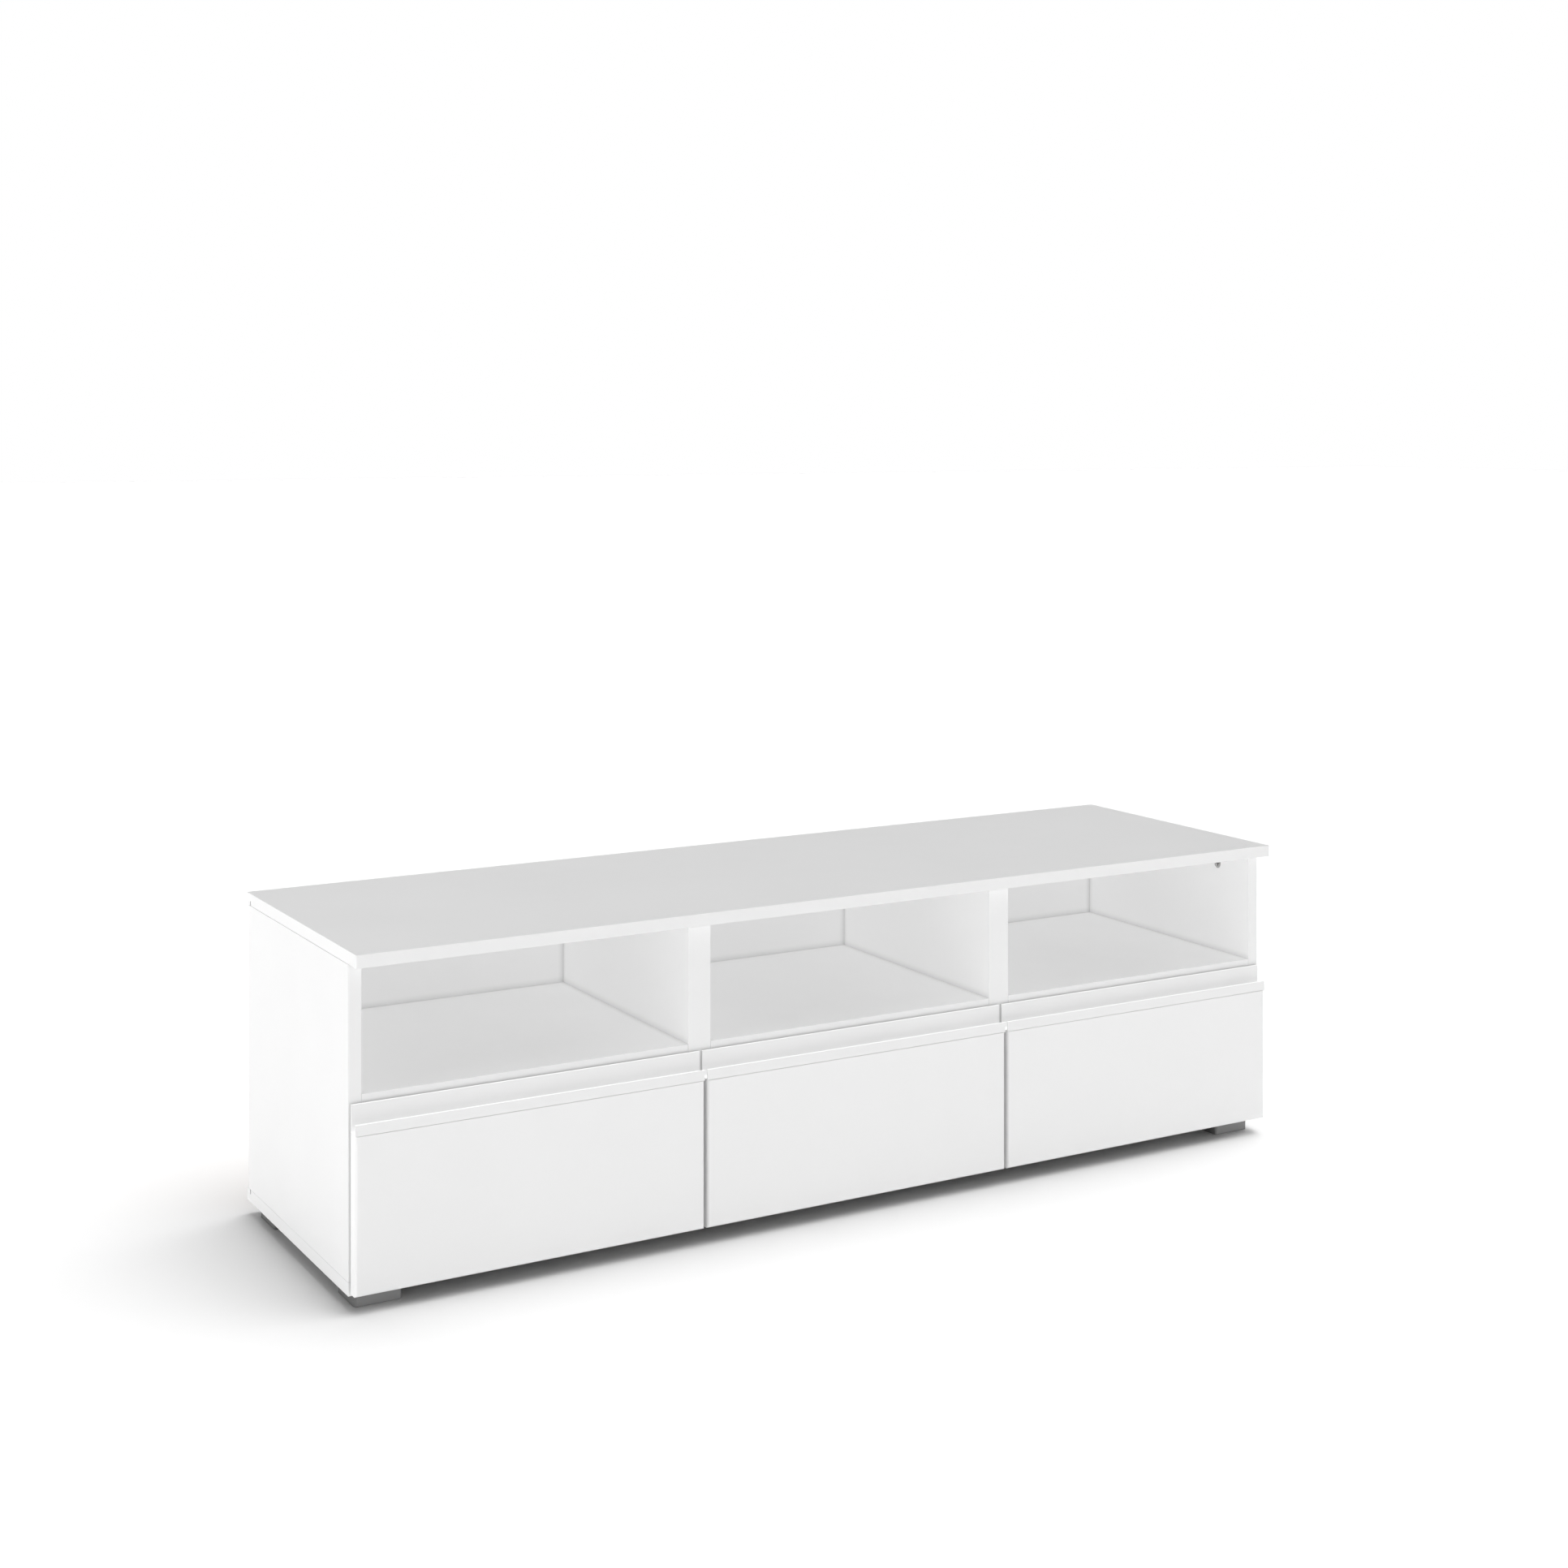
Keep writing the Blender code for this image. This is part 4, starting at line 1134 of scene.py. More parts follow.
# Doors -----------------------------------------------------------------------------------
@dataclass
class Door:
    """One drop-down door: the wrapped panel and the grip profile on its top edge.

    Attributes:
        name: Which door, as in its nodes' names.
        edge_radius: Rounding of the wrapped edges.
        cup_radius: Radius of the hinge cups.
        cup_play: Bore radius beyond the cup's.
        tongue: Thickness and depth of the tongue under the grip.
        tongue_margin: From the tongue's ends to the door's.
        groove_play: Groove beyond the tongue, on each side.
        seat_gap: Gap between the panel's top and the grip.
        wall: Thickness of the grip's walls.
        lip: Height of its front lip.
        fillet: Radius of its inner corners.
        nose: Radius of its lower outer corners.
    """

    name: str
    edge_radius: float = 0.0042
    cup_radius: float = 0.0174
    cup_play: float = 0.0003
    tongue: tuple[float, float] = (0.0020, 0.0070)
    tongue_margin: float = 0.015
    groove_play: float = 0.0003
    seat_gap: float = 0.00015
    wall: float = 0.0016
    lip: float = 0.0140
    fillet: float = 0.0020
    nose: float = 0.0006

    def build(self) -> None:
        """Builds the panel and the grip over their CAD nodes."""
        self.build_panel()
        self.build_grip()

    @property
    def body(self) -> str:
        """The body that the door's pieces ride on."""
        return f"{self.name}_door"

    def _tongue_box(self, play: float, top: float) -> Solid:
        """Makes the tongue, or the cutter of its groove.

        Args:
            play: How much it grows on each side.
            top: Height of its upper end.

        Returns:
            The tongue.
        """
        low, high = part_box(f"{self.name}_door_panel")
        thickness, depth = self.tongue
        y, bottom = (low.y + high.y) / 2, high.z - depth
        return Solid.box(
            (low.x + self.tongue_margin - play, y - thickness / 2 - play, bottom - play),
            (high.x - self.tongue_margin + play, y + thickness / 2 + play, top),
        )

    def build_panel(self) -> None:
        """Builds the panel, with wrapped edges, the hinge bores and the tongue's groove."""
        low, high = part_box(f"{self.name}_door_panel")
        panel = Solid.box(low, high)

        def wrapped(a: Vector, b: Vector) -> bool:
            """Tells the front's two upright edges and its lower edge."""
            on_front = max(a.y, b.y) < low.y + SAME_PLACE
            return on_front and not min(a.z, b.z) > high.z - SAME_PLACE

        panel.rounded(self.edge_radius, 8, wrapped)
        panel.minus(self._tongue_box(self.groove_play, high.z + OVERSHOOT))
        for number in (1, 2):
            cup_low, cup_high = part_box(f"{self.name}_hinge_cup_{number}")
            x, z = (cup_low.x + cup_high.x) / 2, cup_low.z + self.cup_radius
            deep, open_end = cup_low.y - self.cup_play, high.y + OVERSHOOT
            radius = self.cup_radius + self.cup_play
            panel.minus(Solid.rod((x, deep, z), (x, open_end, z), radius))
        add_piece(f"{self.name}_front", panel, FOIL, self.body, [f"{self.name}_door_panel"])

    def build_grip(self) -> None:
        """Builds the J-shaped profile with its tongue."""
        low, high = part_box(f"{self.name}_door_grip")
        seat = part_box(f"{self.name}_door_panel")[1].z + self.seat_gap
        wall, fillet, tip = self.wall, self.fillet, self.wall / 2
        front, rear, nose = low.y, high.y, self.nose
        outline = [
            *arc(front + nose, seat + nose, nose, 180, 270, 4),
            *arc(rear - nose, seat + nose, nose, 270, 360, 4),
            *arc(rear - tip, high.z - tip, tip, 0, 180, 12),
            *arc(rear - wall - fillet, seat + wall + fillet, fillet, 0, -90),
            *arc(front + wall + fillet, seat + wall + fillet, fillet, -90, -180),
            *arc(front + tip, seat + self.lip - tip, tip, 0, 180, 12),
        ]
        grip = Solid.prism(outline, Axis.X, low.x, high.x)
        grip.plus(self._tongue_box(0.0, seat + wall / 2))
        add_piece(f"{self.name}_grip", grip, PROFILE, self.body, [f"{self.name}_door_grip"])


@dataclass
class FlapHinge:
    """A cup hinge for a flap: cast cup with its flange, pin, and a bent arm on a screwed plate.

    Attributes:
        door: Which door.
        number: Which of its hinges.
        cup_radius: Radius of the cup.
        floor: Thickness of the cup's floor.
        wall: Least wall round its square pocket.
        pocket_corner: Radius of the pocket's corners.
        flange: Thickness and lower and upper edge of the flange, from the pin.
        flange_corner: Radius of the flange's corners.
        slot: Half width of the arm's slot, and its depth below the pin.
        pin_bore: Radius of the bore on the pin.
        pin_play: Bore beyond each end of the pin.
        strap: Thickness, width and rise of the arm's strap.
        eye: Radius of the arm's eye.
        bend: Radius outside the arm's bend.
        plate: Width and thickness of the plate.
        plate_corner: Radius of the plate's corners.
        plate_gap: Gap under the plate.
        plate_setback: From the bottom panel's front to the plate's.
        screw: The screws of cup and plate.
    """

    door: str
    number: int
    cup_radius: float = 0.0174
    floor: float = 0.0010
    wall: float = 0.0014
    pocket_corner: float = 0.0015
    flange: tuple[float, float, float] = (0.0012, -0.0030, 0.0200)
    flange_corner: float = 0.006
    slot: tuple[float, float] = (0.0040, 0.0028)
    pin_bore: float = 0.0014
    pin_play: float = 0.00015
    strap: tuple[float, float, float] = (0.0030, 0.0070, 0.0140)
    eye: float = 0.0023
    bend: float = 0.0036
    plate: tuple[float, float] = (0.028, 0.0025)
    plate_corner: float = 0.0035
    plate_gap: float = 0.0003
    plate_setback: float = 0.004
    screw: Screw = Screw(radius=0.0029)

    def build(self) -> None:
        """Builds the hinge's three pieces and its screws."""
        self.pivot = middle(f"{self.door}_hinge_pin_{self.number}")
        self.build_cup()
        self.build_pin()
        self.build_arm()

    def node(self, piece: str) -> str:
        """Returns the CAD node of one of the hinge's pieces."""
        return f"{self.door}_hinge_{piece}_{self.number}"

    def _pin_hole(self) -> Solid:
        """Makes the cutter of the bore on the pin.

        Returns:
            The cutter.
        """
        low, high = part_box(self.node("pin"))
        start, end = low.x - self.pin_play, high.x + self.pin_play
        yz = self.pivot.yz
        return Solid.rod((start, *yz), (end, *yz), self.pin_bore, sides=32)

    def build_cup(self) -> None:
        """Builds the cup with its rounded flange, pocket, slot and bore."""
        low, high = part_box(self.node("cup"))
        pivot, radius = self.pivot, self.cup_radius
        centre_z = low.z + radius
        thickness, under, over = self.flange
        start, end = (pivot.x, low.y, centre_z), (pivot.x, high.y, centre_z)
        cup = Solid.rod(start, end, radius, CHAMFER, 64)
        outline = rounded_rectangle(
            (low.x, pivot.z + under), (high.x, pivot.z + over), self.flange_corner
        )
        cup.plus(Solid.prism(outline, Axis.Y, high.y - thickness, high.y))
        half = (radius - self.wall) / math.sqrt(2)
        floor, open_end = low.y + self.floor, high.y + 2 * OVERSHOOT
        pocket = rounded_rectangle(
            (pivot.x - half, centre_z - half),
            (pivot.x + half, centre_z + half),
            self.pocket_corner,
        )
        cup.minus(Solid.prism(pocket, Axis.Y, floor, open_end))
        slot_half, slot_under = self.slot
        slot_low = (pivot.x - slot_half, floor, pivot.z - slot_under)
        slot_high = (pivot.x + slot_half, open_end, centre_z)
        cup.minus(Solid.box(slot_low, slot_high), self._pin_hole())
        node, body = self.node("cup"), f"{self.door}_door"
        add_piece(f"{node}_casting", cup, ZINC, body, [node])
        screw_x = (self.cup_radius + (high.x - low.x) / 2) / 2
        first = (pivot.x - screw_x, high.y, pivot.z + (under + over) / 2)
        row = (2, first, (2 * screw_x, 0, 0))
        add_screws(f"{node}_screws", self.screw, Vector((0, 1, 0)), row, body)

    def build_pin(self) -> None:
        """Builds the pin with chamfered ends."""
        node, yz = self.node("pin"), self.pivot.yz
        low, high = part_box(node)
        radius = (high.z - low.z) / 2
        pin = Solid.rod((low.x, *yz), (high.x, *yz), radius, FINE_CHAMFER, 32)
        add_piece(f"{node}_turned", pin, STEEL, f"{self.door}_door", [node])

    def build_arm(self) -> None:
        """Builds the strap from the pin, over the door's edge, and its plate with two screws."""
        node = self.node("arm")
        low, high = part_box(node)
        thickness, width, rise = self.strap
        plate_width, plate_thickness = self.plate
        pivot, half = self.pivot, thickness / 2
        panel_low, panel_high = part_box("bottom_panel")
        plate_low, plate_front = panel_high.z + self.plate_gap, panel_low.y + self.plate_setback
        plate_high = plate_low + plate_thickness
        embedded = plate_high - OVERSHOOT
        neck = math.degrees(math.asin(half / self.eye))
        under, inner = pivot.z + rise - thickness, self.bend - thickness
        y, top = pivot.y, pivot.z + rise
        outline = [
            *arc(y, pivot.z, self.eye, 90 + neck, 450 - neck, 20),
            *reversed(arc(y + half + inner, under - inner, inner, 90, 180, 4)),
            (plate_front + thickness, under),
            (plate_front + thickness, embedded),
            (high.y - thickness, embedded),
            *arc(high.y - 2 * thickness, top - thickness, thickness, 0, 90, 6),
            *arc(y - half + self.bend, top - self.bend, self.bend, 90, 180),
        ]
        arm = Solid.prism(outline, Axis.X, pivot.x - width / 2, pivot.x + width / 2)
        plate = rounded_rectangle(
            (pivot.x - plate_width / 2, plate_front),
            (pivot.x + plate_width / 2, high.y),
            self.plate_corner,
        )
        arm.plus(Solid.prism(plate, Axis.Z, plate_low, plate_high))
        arm.minus(self._pin_hole())
        add_piece(f"{node}_strap", arm, STEEL, "carcass", [node])
        screw_x = (width / 2 + plate_width / 2) / 2
        first = (pivot.x - screw_x, (plate_front + high.y) / 2, plate_high)
        row = (2, first, (2 * screw_x, 0, 0))
        add_screws(f"{node}_screws", self.screw, Vector((0, 0, 1)), row, "carcass")


@dataclass
class FlapStay:
    """A braking stay: bracket on the door, rod, swivelling housing, and its plate on the wall.

    Attributes:
        door: Which door.
        rod_radius: Radius of the rod.
        play: Radial clearance on rod, pin and stud.
        eye: Radius and width of the rod's eye.
        pin_radius: Radius of the bracket's pin.
        collar: Radius and length of the stop collar.
        housing: Thickness, length and height of the housing.
        housing_edge: Rounding of the housing's edges.
        groove: Half width and half depth of the housing's two grooves.
        groove_place: From the housing's middle to each groove.
        stud: Radius and length of the plate's stud.
        lug: Thickness and height of the bracket's lug.
        base: Thickness of the bracket's base.
        rivet: Height of the pin's riveted head, and its radius as a share of the pin's.
        plate: Thickness of the wall plate.
        corner: Radius of the stamped plates' corners.
        screw: Their screws.
        bracket_screws: From the bracket's end to its first screw, and on to the next.
        plate_inset: From the wall plate's corners to its screws.
        brake: How far the brake screw is sunk, how far it stands out, and its radius.
        brake_slot: Half length, half width and half depth of its slot.
    """

    door: str
    rod_radius: float = 0.0027
    play: float = 0.0003
    eye: tuple[float, float] = (0.0050, 0.0050)
    pin_radius: float = 0.0020
    collar: tuple[float, float] = (0.0048, 0.0050)
    housing: tuple[float, float, float] = (0.014, 0.026, 0.016)
    housing_edge: float = 0.0018
    groove: tuple[float, float] = (0.0009, 0.0007)
    groove_place: float = 0.0085
    stud: tuple[float, float] = (0.0030, 0.0047)
    lug: tuple[float, float] = (0.0030, 0.0090)
    base: float = 0.002
    rivet: tuple[float, float] = (0.0008, 1.5)
    plate: float = 0.003
    corner: float = 0.003
    screw: Screw = Screw(radius=0.0027)
    bracket_screws: tuple[float, float] = (0.006, 0.010)
    plate_inset: float = 0.0045
    brake: tuple[float, float, float] = (0.0006, 0.0012, 0.0032)
    brake_slot: tuple[float, float, float] = (0.0045, 0.0005, 0.0006)

    def build(self) -> None:
        """Builds the stay's four pieces and their screws."""
        self.front = JOINTS[f"{self.door}_rod_pivot"]
        self.rear = JOINTS[f"{self.door}_housing_swivel"]
        span = self.rear - self.front
        self.direction = span.normalized()
        self.angle = math.atan2(span.z, span.y)
        self.build_bracket()
        self.build_rod()
        self.build_housing()
        self.build_plate()

    def build_bracket(self) -> None:
        """Builds the stamped bracket with its rounded lug, riveted pin and two screws."""
        node = f"{self.door}_stay_bracket"
        low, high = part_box(node)
        thickness, height = self.lug
        lug_x = self.front.x - self.eye[1] / 2 - self.play
        base_rear = low.y + self.base
        outline = rounded_rectangle((low.x, low.z), (lug_x, high.z), self.corner)
        base = Solid.prism(outline, Axis.Y, low.y, base_rear)
        y, z, half = self.front.y, self.front.z, height / 2
        root = low.y + OVERSHOOT
        outline = [(root, z + half), (root, z - half), *arc(y, z, half, -90, 90, 16)]
        base.plus(Solid.prism(outline, Axis.X, lug_x - thickness, lug_x))
        rivet_height, rivet_share = self.rivet
        head_end, lug_middle = lug_x - thickness - rivet_height, lug_x - thickness / 2
        rivet_radius, body = self.pin_radius * rivet_share, f"{self.door}_door"
        base.plus(
            Solid.rod((lug_middle, y, z), (high.x, y, z), self.pin_radius, FINE_CHAMFER, 32),
            Solid.rod((head_end, y, z), (lug_middle, y, z), rivet_radius, WIDE_CHAMFER, 32),
        )
        add_piece(f"{node}_stamping", base, STEEL, body, [node])
        inset, pitch = self.bracket_screws
        row = (2, (low.x + inset, base_rear, z), (pitch, 0, 0))
        add_screws(f"{node}_screws", self.screw, Vector((0, 1, 0)), row, body)

    def build_rod(self) -> None:
        """Builds the rod with its flattened eye and its stop collar."""
        node = f"{self.door}_stay_rod"
        low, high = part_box(node)
        radius, width = self.eye
        x, collar_radius, collar_length = self.front.x, *self.collar
        reach = high.y - self.front.y - collar_radius * abs(self.direction.z)
        length = reach / self.direction.y
        end = self.front + self.direction * length
        start = self.front + self.direction * (radius + self.pin_radius) / 2
        yz, half = self.front.yz, width / 2
        eye = Solid.rod((x - half, *yz), (x + half, *yz), radius, WIDE_CHAMFER)
        eye.plus(Solid.rod(start, end, self.rod_radius, CHAMFER, 32))
        collar_start = end - self.direction * collar_length
        eye.plus(Solid.rod(collar_start, end, collar_radius, 2 * CHAMFER, 40))
        bore = self.pin_radius + self.play
        eye.minus(Solid.rod((x - width, *yz), (x + width, *yz), bore, sides=32))
        add_piece(f"{node}_turned", eye, STEEL, f"{self.door}_rod", [node])

    def build_housing(self) -> None:
        """Builds the moulded housing, bored for rod and stud, with its brake screw on top."""
        node, body = f"{self.door}_stay_housing", f"{self.door}_housing"
        half = Vector(self.housing) / 2
        block = Solid.box(self.rear - half, self.rear + half).rounded(self.housing_edge, 4)
        groove = Vector((half.x + OVERSHOOT, *self.groove))
        for offset in (-self.groove_place, self.groove_place):
            spot = self.rear + Vector((0, offset, half.z))
            block.minus(Solid.box(spot - groove, spot + groove))
        block.turn(self.rear, self.angle)
        reach, bore = self.direction * self.housing[1], self.rod_radius + self.play
        block.minus(Solid.rod(self.rear - reach, self.rear + reach, bore, sides=32))
        stud_radius, stud_length = self.stud
        plate_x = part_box(f"{self.door}_stay_plate")[1].x - self.plate
        start, end, yz = plate_x - stud_length - self.play, plate_x + 2 * OVERSHOOT, self.rear.yz
        block.minus(Solid.rod((start, *yz), (end, *yz), stud_radius + self.play, sides=32))
        add_piece(f"{node}_moulding", block, WHITE_PLASTIC, body, [node])
        upward = Vector((0.0, -self.direction.z, self.direction.y))
        spot, (sunk, proud, radius) = self.rear + upward * half.z, self.brake
        brake = Solid.rod(spot - upward * sunk, spot + upward * proud, radius, CHAMFER, 32)
        slot_half = Vector(self.brake_slot)
        slot = Solid.box(-slot_half, slot_half).moved(self.rear)
        slot.moved((0, 0, half.z + proud)).turn(self.rear, self.angle)
        add_piece(f"{node}_brake_screw", brake.minus(slot), SCREW_STEEL, body)

    def build_plate(self) -> None:
        """Builds the wall plate with its stud and two screws."""
        node = f"{self.door}_stay_plate"
        low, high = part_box(node)
        inner, inset = high.x - self.plate, self.plate_inset
        outline = rounded_rectangle((low.y, low.z), (high.y, high.z), self.corner)
        plate = Solid.prism(outline, Axis.X, inner, high.x)
        yz, stud_end = self.rear.yz, inner + self.plate / 2
        plate.plus(Solid.rod((low.x, *yz), (stud_end, *yz), self.stud[0], CHAMFER, 32))
        add_piece(f"{node}_stamping", plate, STEEL, "carcass", [node])
        first = (inner, low.y + inset, low.z + inset)
        step = (0, high.y - low.y - 2 * inset, high.z - low.z - 2 * inset)
        add_screws(f"{node}_screws", self.screw, Vector((-1, 0, 0)), (2, first, step), "carcass")


@dataclass
class MagneticCatch:
    """A magnet in a moulded case on the wall, and its plate on the door.

    Attributes:
        door: Which door.
        pole: Thickness of the two steel pole strips.
        magnet: Thickness of the magnet between them.
        proud: How far the poles stand out of the case.
        margin: From the magnet's ends to the case's.
        mouth_play: Mouth of the case round the poles.
        mouth_depth: Depth of the mouth.
        core: Depth of the magnet's front and rear faces in the case.
        case_edge: Rounding of the case's edges.
        case_screws: From the case's rear and lower faces to its first screw.
        strike_corner: Radius of the plate's corners.
        screw: The screws of the case.
        strike_screw: The screw of the plate.
    """

    door: str
    pole: float = 0.0012
    magnet: float = 0.0042
    proud: float = 0.00025
    margin: float = 0.005
    mouth_play: float = 0.0004
    mouth_depth: float = 0.006
    core: tuple[float, float] = (0.0006, 0.0058)
    case_edge: float = 0.0012
    case_screws: tuple[float, float] = (0.004, 0.009)
    strike_corner: float = 0.002
    screw: Screw = Screw(radius=0.0025)
    strike_screw: Screw = Screw(radius=0.0025, crown=0.0002)

    def build(self) -> None:
        """Builds the case, its magnet and poles, and the strike plate."""
        node, body = f"{self.door}_catch", "carcass"
        low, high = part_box(node)
        centre, half_height = (low + high) / 2, (high.z - low.z) / 2 - self.margin
        case = Solid.box(low, high).rounded(self.case_edge, 4)
        play, (core_front, core_rear) = self.mouth_play, self.core
        mouth = self.magnet / 2 + self.pole + play
        case.minus(
            Solid.box(
                (centre.x - mouth, low.y - OVERSHOOT, centre.z - half_height - play),
                (centre.x + mouth, low.y + self.mouth_depth, centre.z + half_height + play),
            )
        )
        add_piece(f"{node}_case", case, WHITE_PLASTIC, body, [node])
        core_low = (centre.x - self.magnet / 2, low.y + core_front, centre.z - half_height)
        core_high = (centre.x + self.magnet / 2, low.y + core_rear, centre.z + half_height)
        core = Solid.box(core_low, core_high).rounded(CHAMFER, 2)
        add_piece(f"{node}_magnet", core, FERRITE, body)
        for label, side in (("left", -1), ("right", 1)):
            x = centre.x + side * (self.magnet + self.pole) / 2
            strip = Solid.box(
                (x - self.pole / 2, low.y - self.proud, centre.z - half_height),
                (x + self.pole / 2, low.y + core_rear, centre.z + half_height),
            )
            add_piece(f"{node}_{label}_pole", strip.rounded(FINE_CHAMFER, 2), STEEL, body)
        from_rear, from_below = self.case_screws
        first = (high.x, high.y - from_rear, low.z + from_below)
        row = (2, first, (0, 0, high.z - low.z - 2 * from_below))
        add_screws(f"{node}_screws", self.screw, Vector((1, 0, 0)), row, body)
        self.build_strike()

    def build_strike(self) -> None:
        """Builds the plate on the door, with one screw in its middle."""
        node, body = f"{self.door}_strike", f"{self.door}_door"
        low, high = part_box(node)
        outline = rounded_rectangle((low.x, low.z), (high.x, high.z), self.strike_corner)
        plate, centre = Solid.prism(outline, Axis.Y, low.y, high.y), (low + high) / 2
        add_piece(f"{node}_plate", plate, STEEL, body, [node])
        row = (1, (centre.x, high.y, centre.z), (0, 0, 0))
        add_screws(f"{node}_screw", self.strike_screw, Vector((0, 1, 0)), row, body)


# Studio ----------------------------------------------------------------------------------
class Reach(Enum):
    """What a light falls on: the endings of the objects' names, and whether they alone are lit."""

    EVERYTHING = ((), False)
    FLOOR = (("floor",), True)
    FRONTS = (("_front", "_foot_block"), True)
    GRIPS = (("_grip",), True)
    EDGES = (("_front", "_grip"), True)
    INSIDE = (("floor", "_front", "_foot_block", "_grip"), False)


@dataclass(frozen=True)
class SoftLight:
    """An even light from one side, like a wide bank of softboxes.

    Attributes:
        name: Its name.
        side: Compass angle that it comes from, in degrees: 0 in front, -90 from the left.
        height: Angle above the horizon in degrees.
        spread: Angular size in degrees.
        strength: Strength, where 1 lights a white face that looks at it fully.
        reach: What it falls on.
        shadows: Whether the stand shades itself from it.
        gloss: Whether it shows in gloss.
    """

    name: str
    side: float
    height: float
    spread: float
    strength: float
    reach: Reach = Reach.EVERYTHING
    shadows: bool = True
    gloss: bool = True

    def build(self, reaches: dict[Reach, bpy.types.Collection]) -> None:
        """Adds the light.

        Args:
            reaches: The collections that limit what a light falls on.
        """
        light = bpy.data.lights.new(self.name, "SUN")
        light.energy, light.angle = math.pi * self.strength, math.radians(self.spread)
        light.use_shadow = self.shadows
        lamp = bpy.data.objects.new(self.name, light)
        side, height = math.radians(self.side), math.radians(self.height)
        level = math.cos(height)
        away = Vector((math.sin(side) * level, -math.cos(side) * level, math.sin(height)))
        lamp.rotation_euler = away.to_track_quat("Z", "Y").to_euler()
        lamp.visible_glossy = self.gloss
        bpy.context.scene.collection.objects.link(lamp)
        if self.reach in reaches:
            lamp.light_linking.receiver_collection = reaches[self.reach]


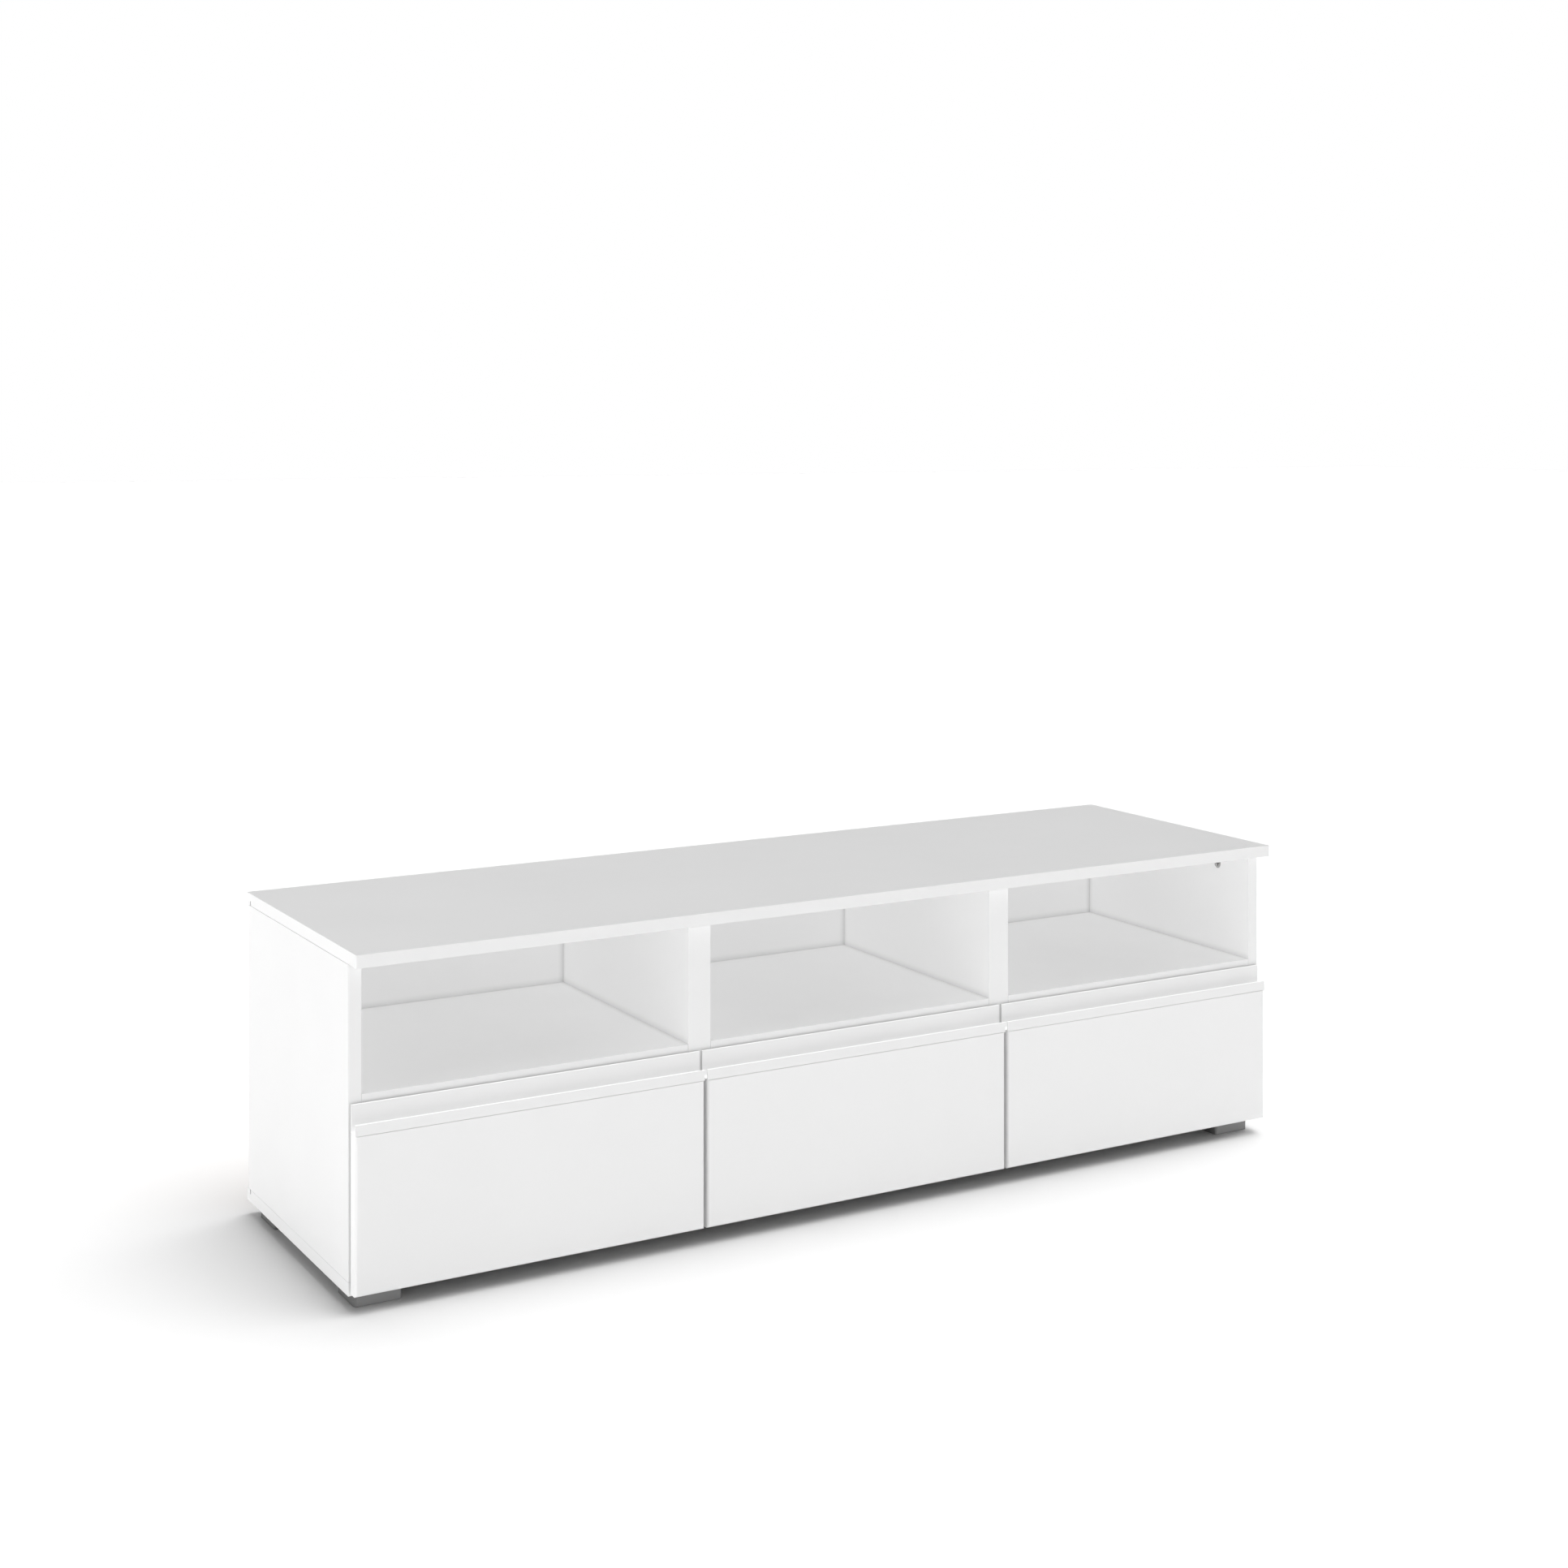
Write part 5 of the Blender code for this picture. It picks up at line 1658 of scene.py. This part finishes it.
@dataclass
class Studio:
    """The pale floor, the soft light and the camera.

    Attributes:
        camera_place: The camera's place.
        camera_yaw: How far it is turned to the right of the rear, in degrees.
        frame_width: Width of the camera's frame, in millimetres.
        lens: Focal length, in millimetres.
        fall: How far the lens is shifted down, in frame widths.
        floor_half: Half the side of the floor.
        floor_thickness: Its thickness.
        floor_colour: Its colour.
        floor_roughness: Its roughness.
        sky: Strength of the light from the white surroundings.
        lights: The soft lights.
    """

    camera_place: Point = (-1.612, -2.776, 1.0419)
    camera_yaw: float = 30.12
    frame_width: float = 36.0
    lens: float = 52.78
    fall: float = 0.2286
    floor_half: float = 40.0
    floor_thickness: float = 0.02
    floor_colour: Colour = (0.72, 0.72, 0.72)
    floor_roughness: float = 0.9
    sky: float = 0.265
    lights: tuple[SoftLight, ...] = (
        SoftLight("top_light", 0, 88, 60, 0.250),
        SoftLight("left_light", -90, 8, 50, 0.225),
        SoftLight("rear_light", 180, 8, 50, 0.35, gloss=False),
        SoftLight("floor_light", 75, 66, 66, 0.98, Reach.FLOOR),
        SoftLight("front_light", 30, 10, 40, 0.485, Reach.FRONTS),
        SoftLight("edge_light", -90, 15, 8, 0.45, Reach.EDGES),
        SoftLight("grip_light", 0, 68, 30, 0.87, Reach.GRIPS, False, False),
        SoftLight("front_fill", -35, 26, 30, 0.405, Reach.INSIDE, False, False),
        SoftLight("left_fill", -90, 20, 30, 0.146, Reach.INSIDE, False, False),
        SoftLight("right_fill", 90, 20, 30, 0.360, Reach.INSIDE, False, False),
    )

    def build(self) -> None:
        """Adds the camera, the floor and the light, once all the pieces are there."""
        self.build_camera()
        self.build_floor()
        self.build_sky()
        limits = [reach for reach in Reach if reach is not Reach.EVERYTHING]
        reaches = {reach: self.reach_collection(reach) for reach in limits}
        for light in self.lights:
            light.build(reaches)
        bpy.context.scene.view_settings.view_transform = "Standard"

    def reach_collection(self, reach: Reach) -> bpy.types.Collection:
        """Makes the collection, outside the scene, that limits what a light falls on.

        Args:
            reach: What the light falls on.

        Returns:
            The collection.
        """
        endings, alone = reach.value
        collection = bpy.data.collections.new(f"lit_{reach.name.lower()}")
        for piece in bpy.context.scene.objects:
            if piece.name.endswith(endings):
                collection.objects.link(piece)
        for entry in collection.collection_objects:
            entry.light_linking.link_state = "INCLUDE" if alone else "EXCLUDE"
        return collection

    def build_camera(self) -> None:
        """Adds the camera, level, so that upright edges stay upright."""
        lens = bpy.data.cameras.new("camera")
        lens.lens, lens.sensor_width, lens.shift_y = self.lens, self.frame_width, -self.fall
        lens.clip_end = 4 * self.floor_half
        camera = bpy.data.objects.new("camera", lens)
        camera.location = self.camera_place
        camera.rotation_euler = (math.pi / 2, 0.0, -math.radians(self.camera_yaw))
        bpy.context.scene.collection.objects.link(camera)
        bpy.context.scene.camera = camera

    def build_floor(self) -> None:
        """Adds the plain pale floor."""
        finish = Finish(
            "pale_floor",
            "",
            self.floor_colour,
            self.floor_roughness,
            Relief.ORANGE_PEEL,
            tone_drift=0.0,
        )
        half = self.floor_half
        mesh = Solid.box((-half, -half, -self.floor_thickness), (half, half, 0.0)).mesh("floor")
        mesh.materials.append(finish.material())
        floor = bpy.data.objects.new("floor", mesh)
        bpy.context.scene.collection.objects.link(floor)

    def build_sky(self) -> None:
        """Adds the surroundings, which look white and light the stand evenly."""
        world = bpy.data.worlds.new("studio")
        world.use_nodes = True
        tree = world.node_tree
        background = tree.nodes["Background"]
        background.inputs["Color"].default_value = (1.0, 1.0, 1.0, 1.0)
        seen = add_node(tree, "ShaderNodeLightPath")
        strength = add_node(tree, "ShaderNodeMapRange")
        strength.inputs["To Min"].default_value = self.sky
        tree.links.new(seen.outputs["Is Camera Ray"], strength.inputs["Value"])
        tree.links.new(strength.outputs["Result"], background.inputs["Strength"])
        bpy.context.scene.world = world


def main() -> None:
    """Builds the stand's looks and the studio."""
    logging.basicConfig(level=logging.INFO, format="%(name)s: %(message)s")
    Carcass().build()
    for side in ("left", "right"):
        for place in ("front", "rear"):
            CamLock(f"{side}_{place}_cam").build()
            Foot(f"{place}_{side}_foot").build()
    for name in ("left", "middle", "right"):
        Door(name).build()
        for number in (1, 2):
            FlapHinge(name, number).build()
        FlapStay(name).build()
        MagneticCatch(name).build()
    Studio().build()


if __name__ == "__main__":
    main()
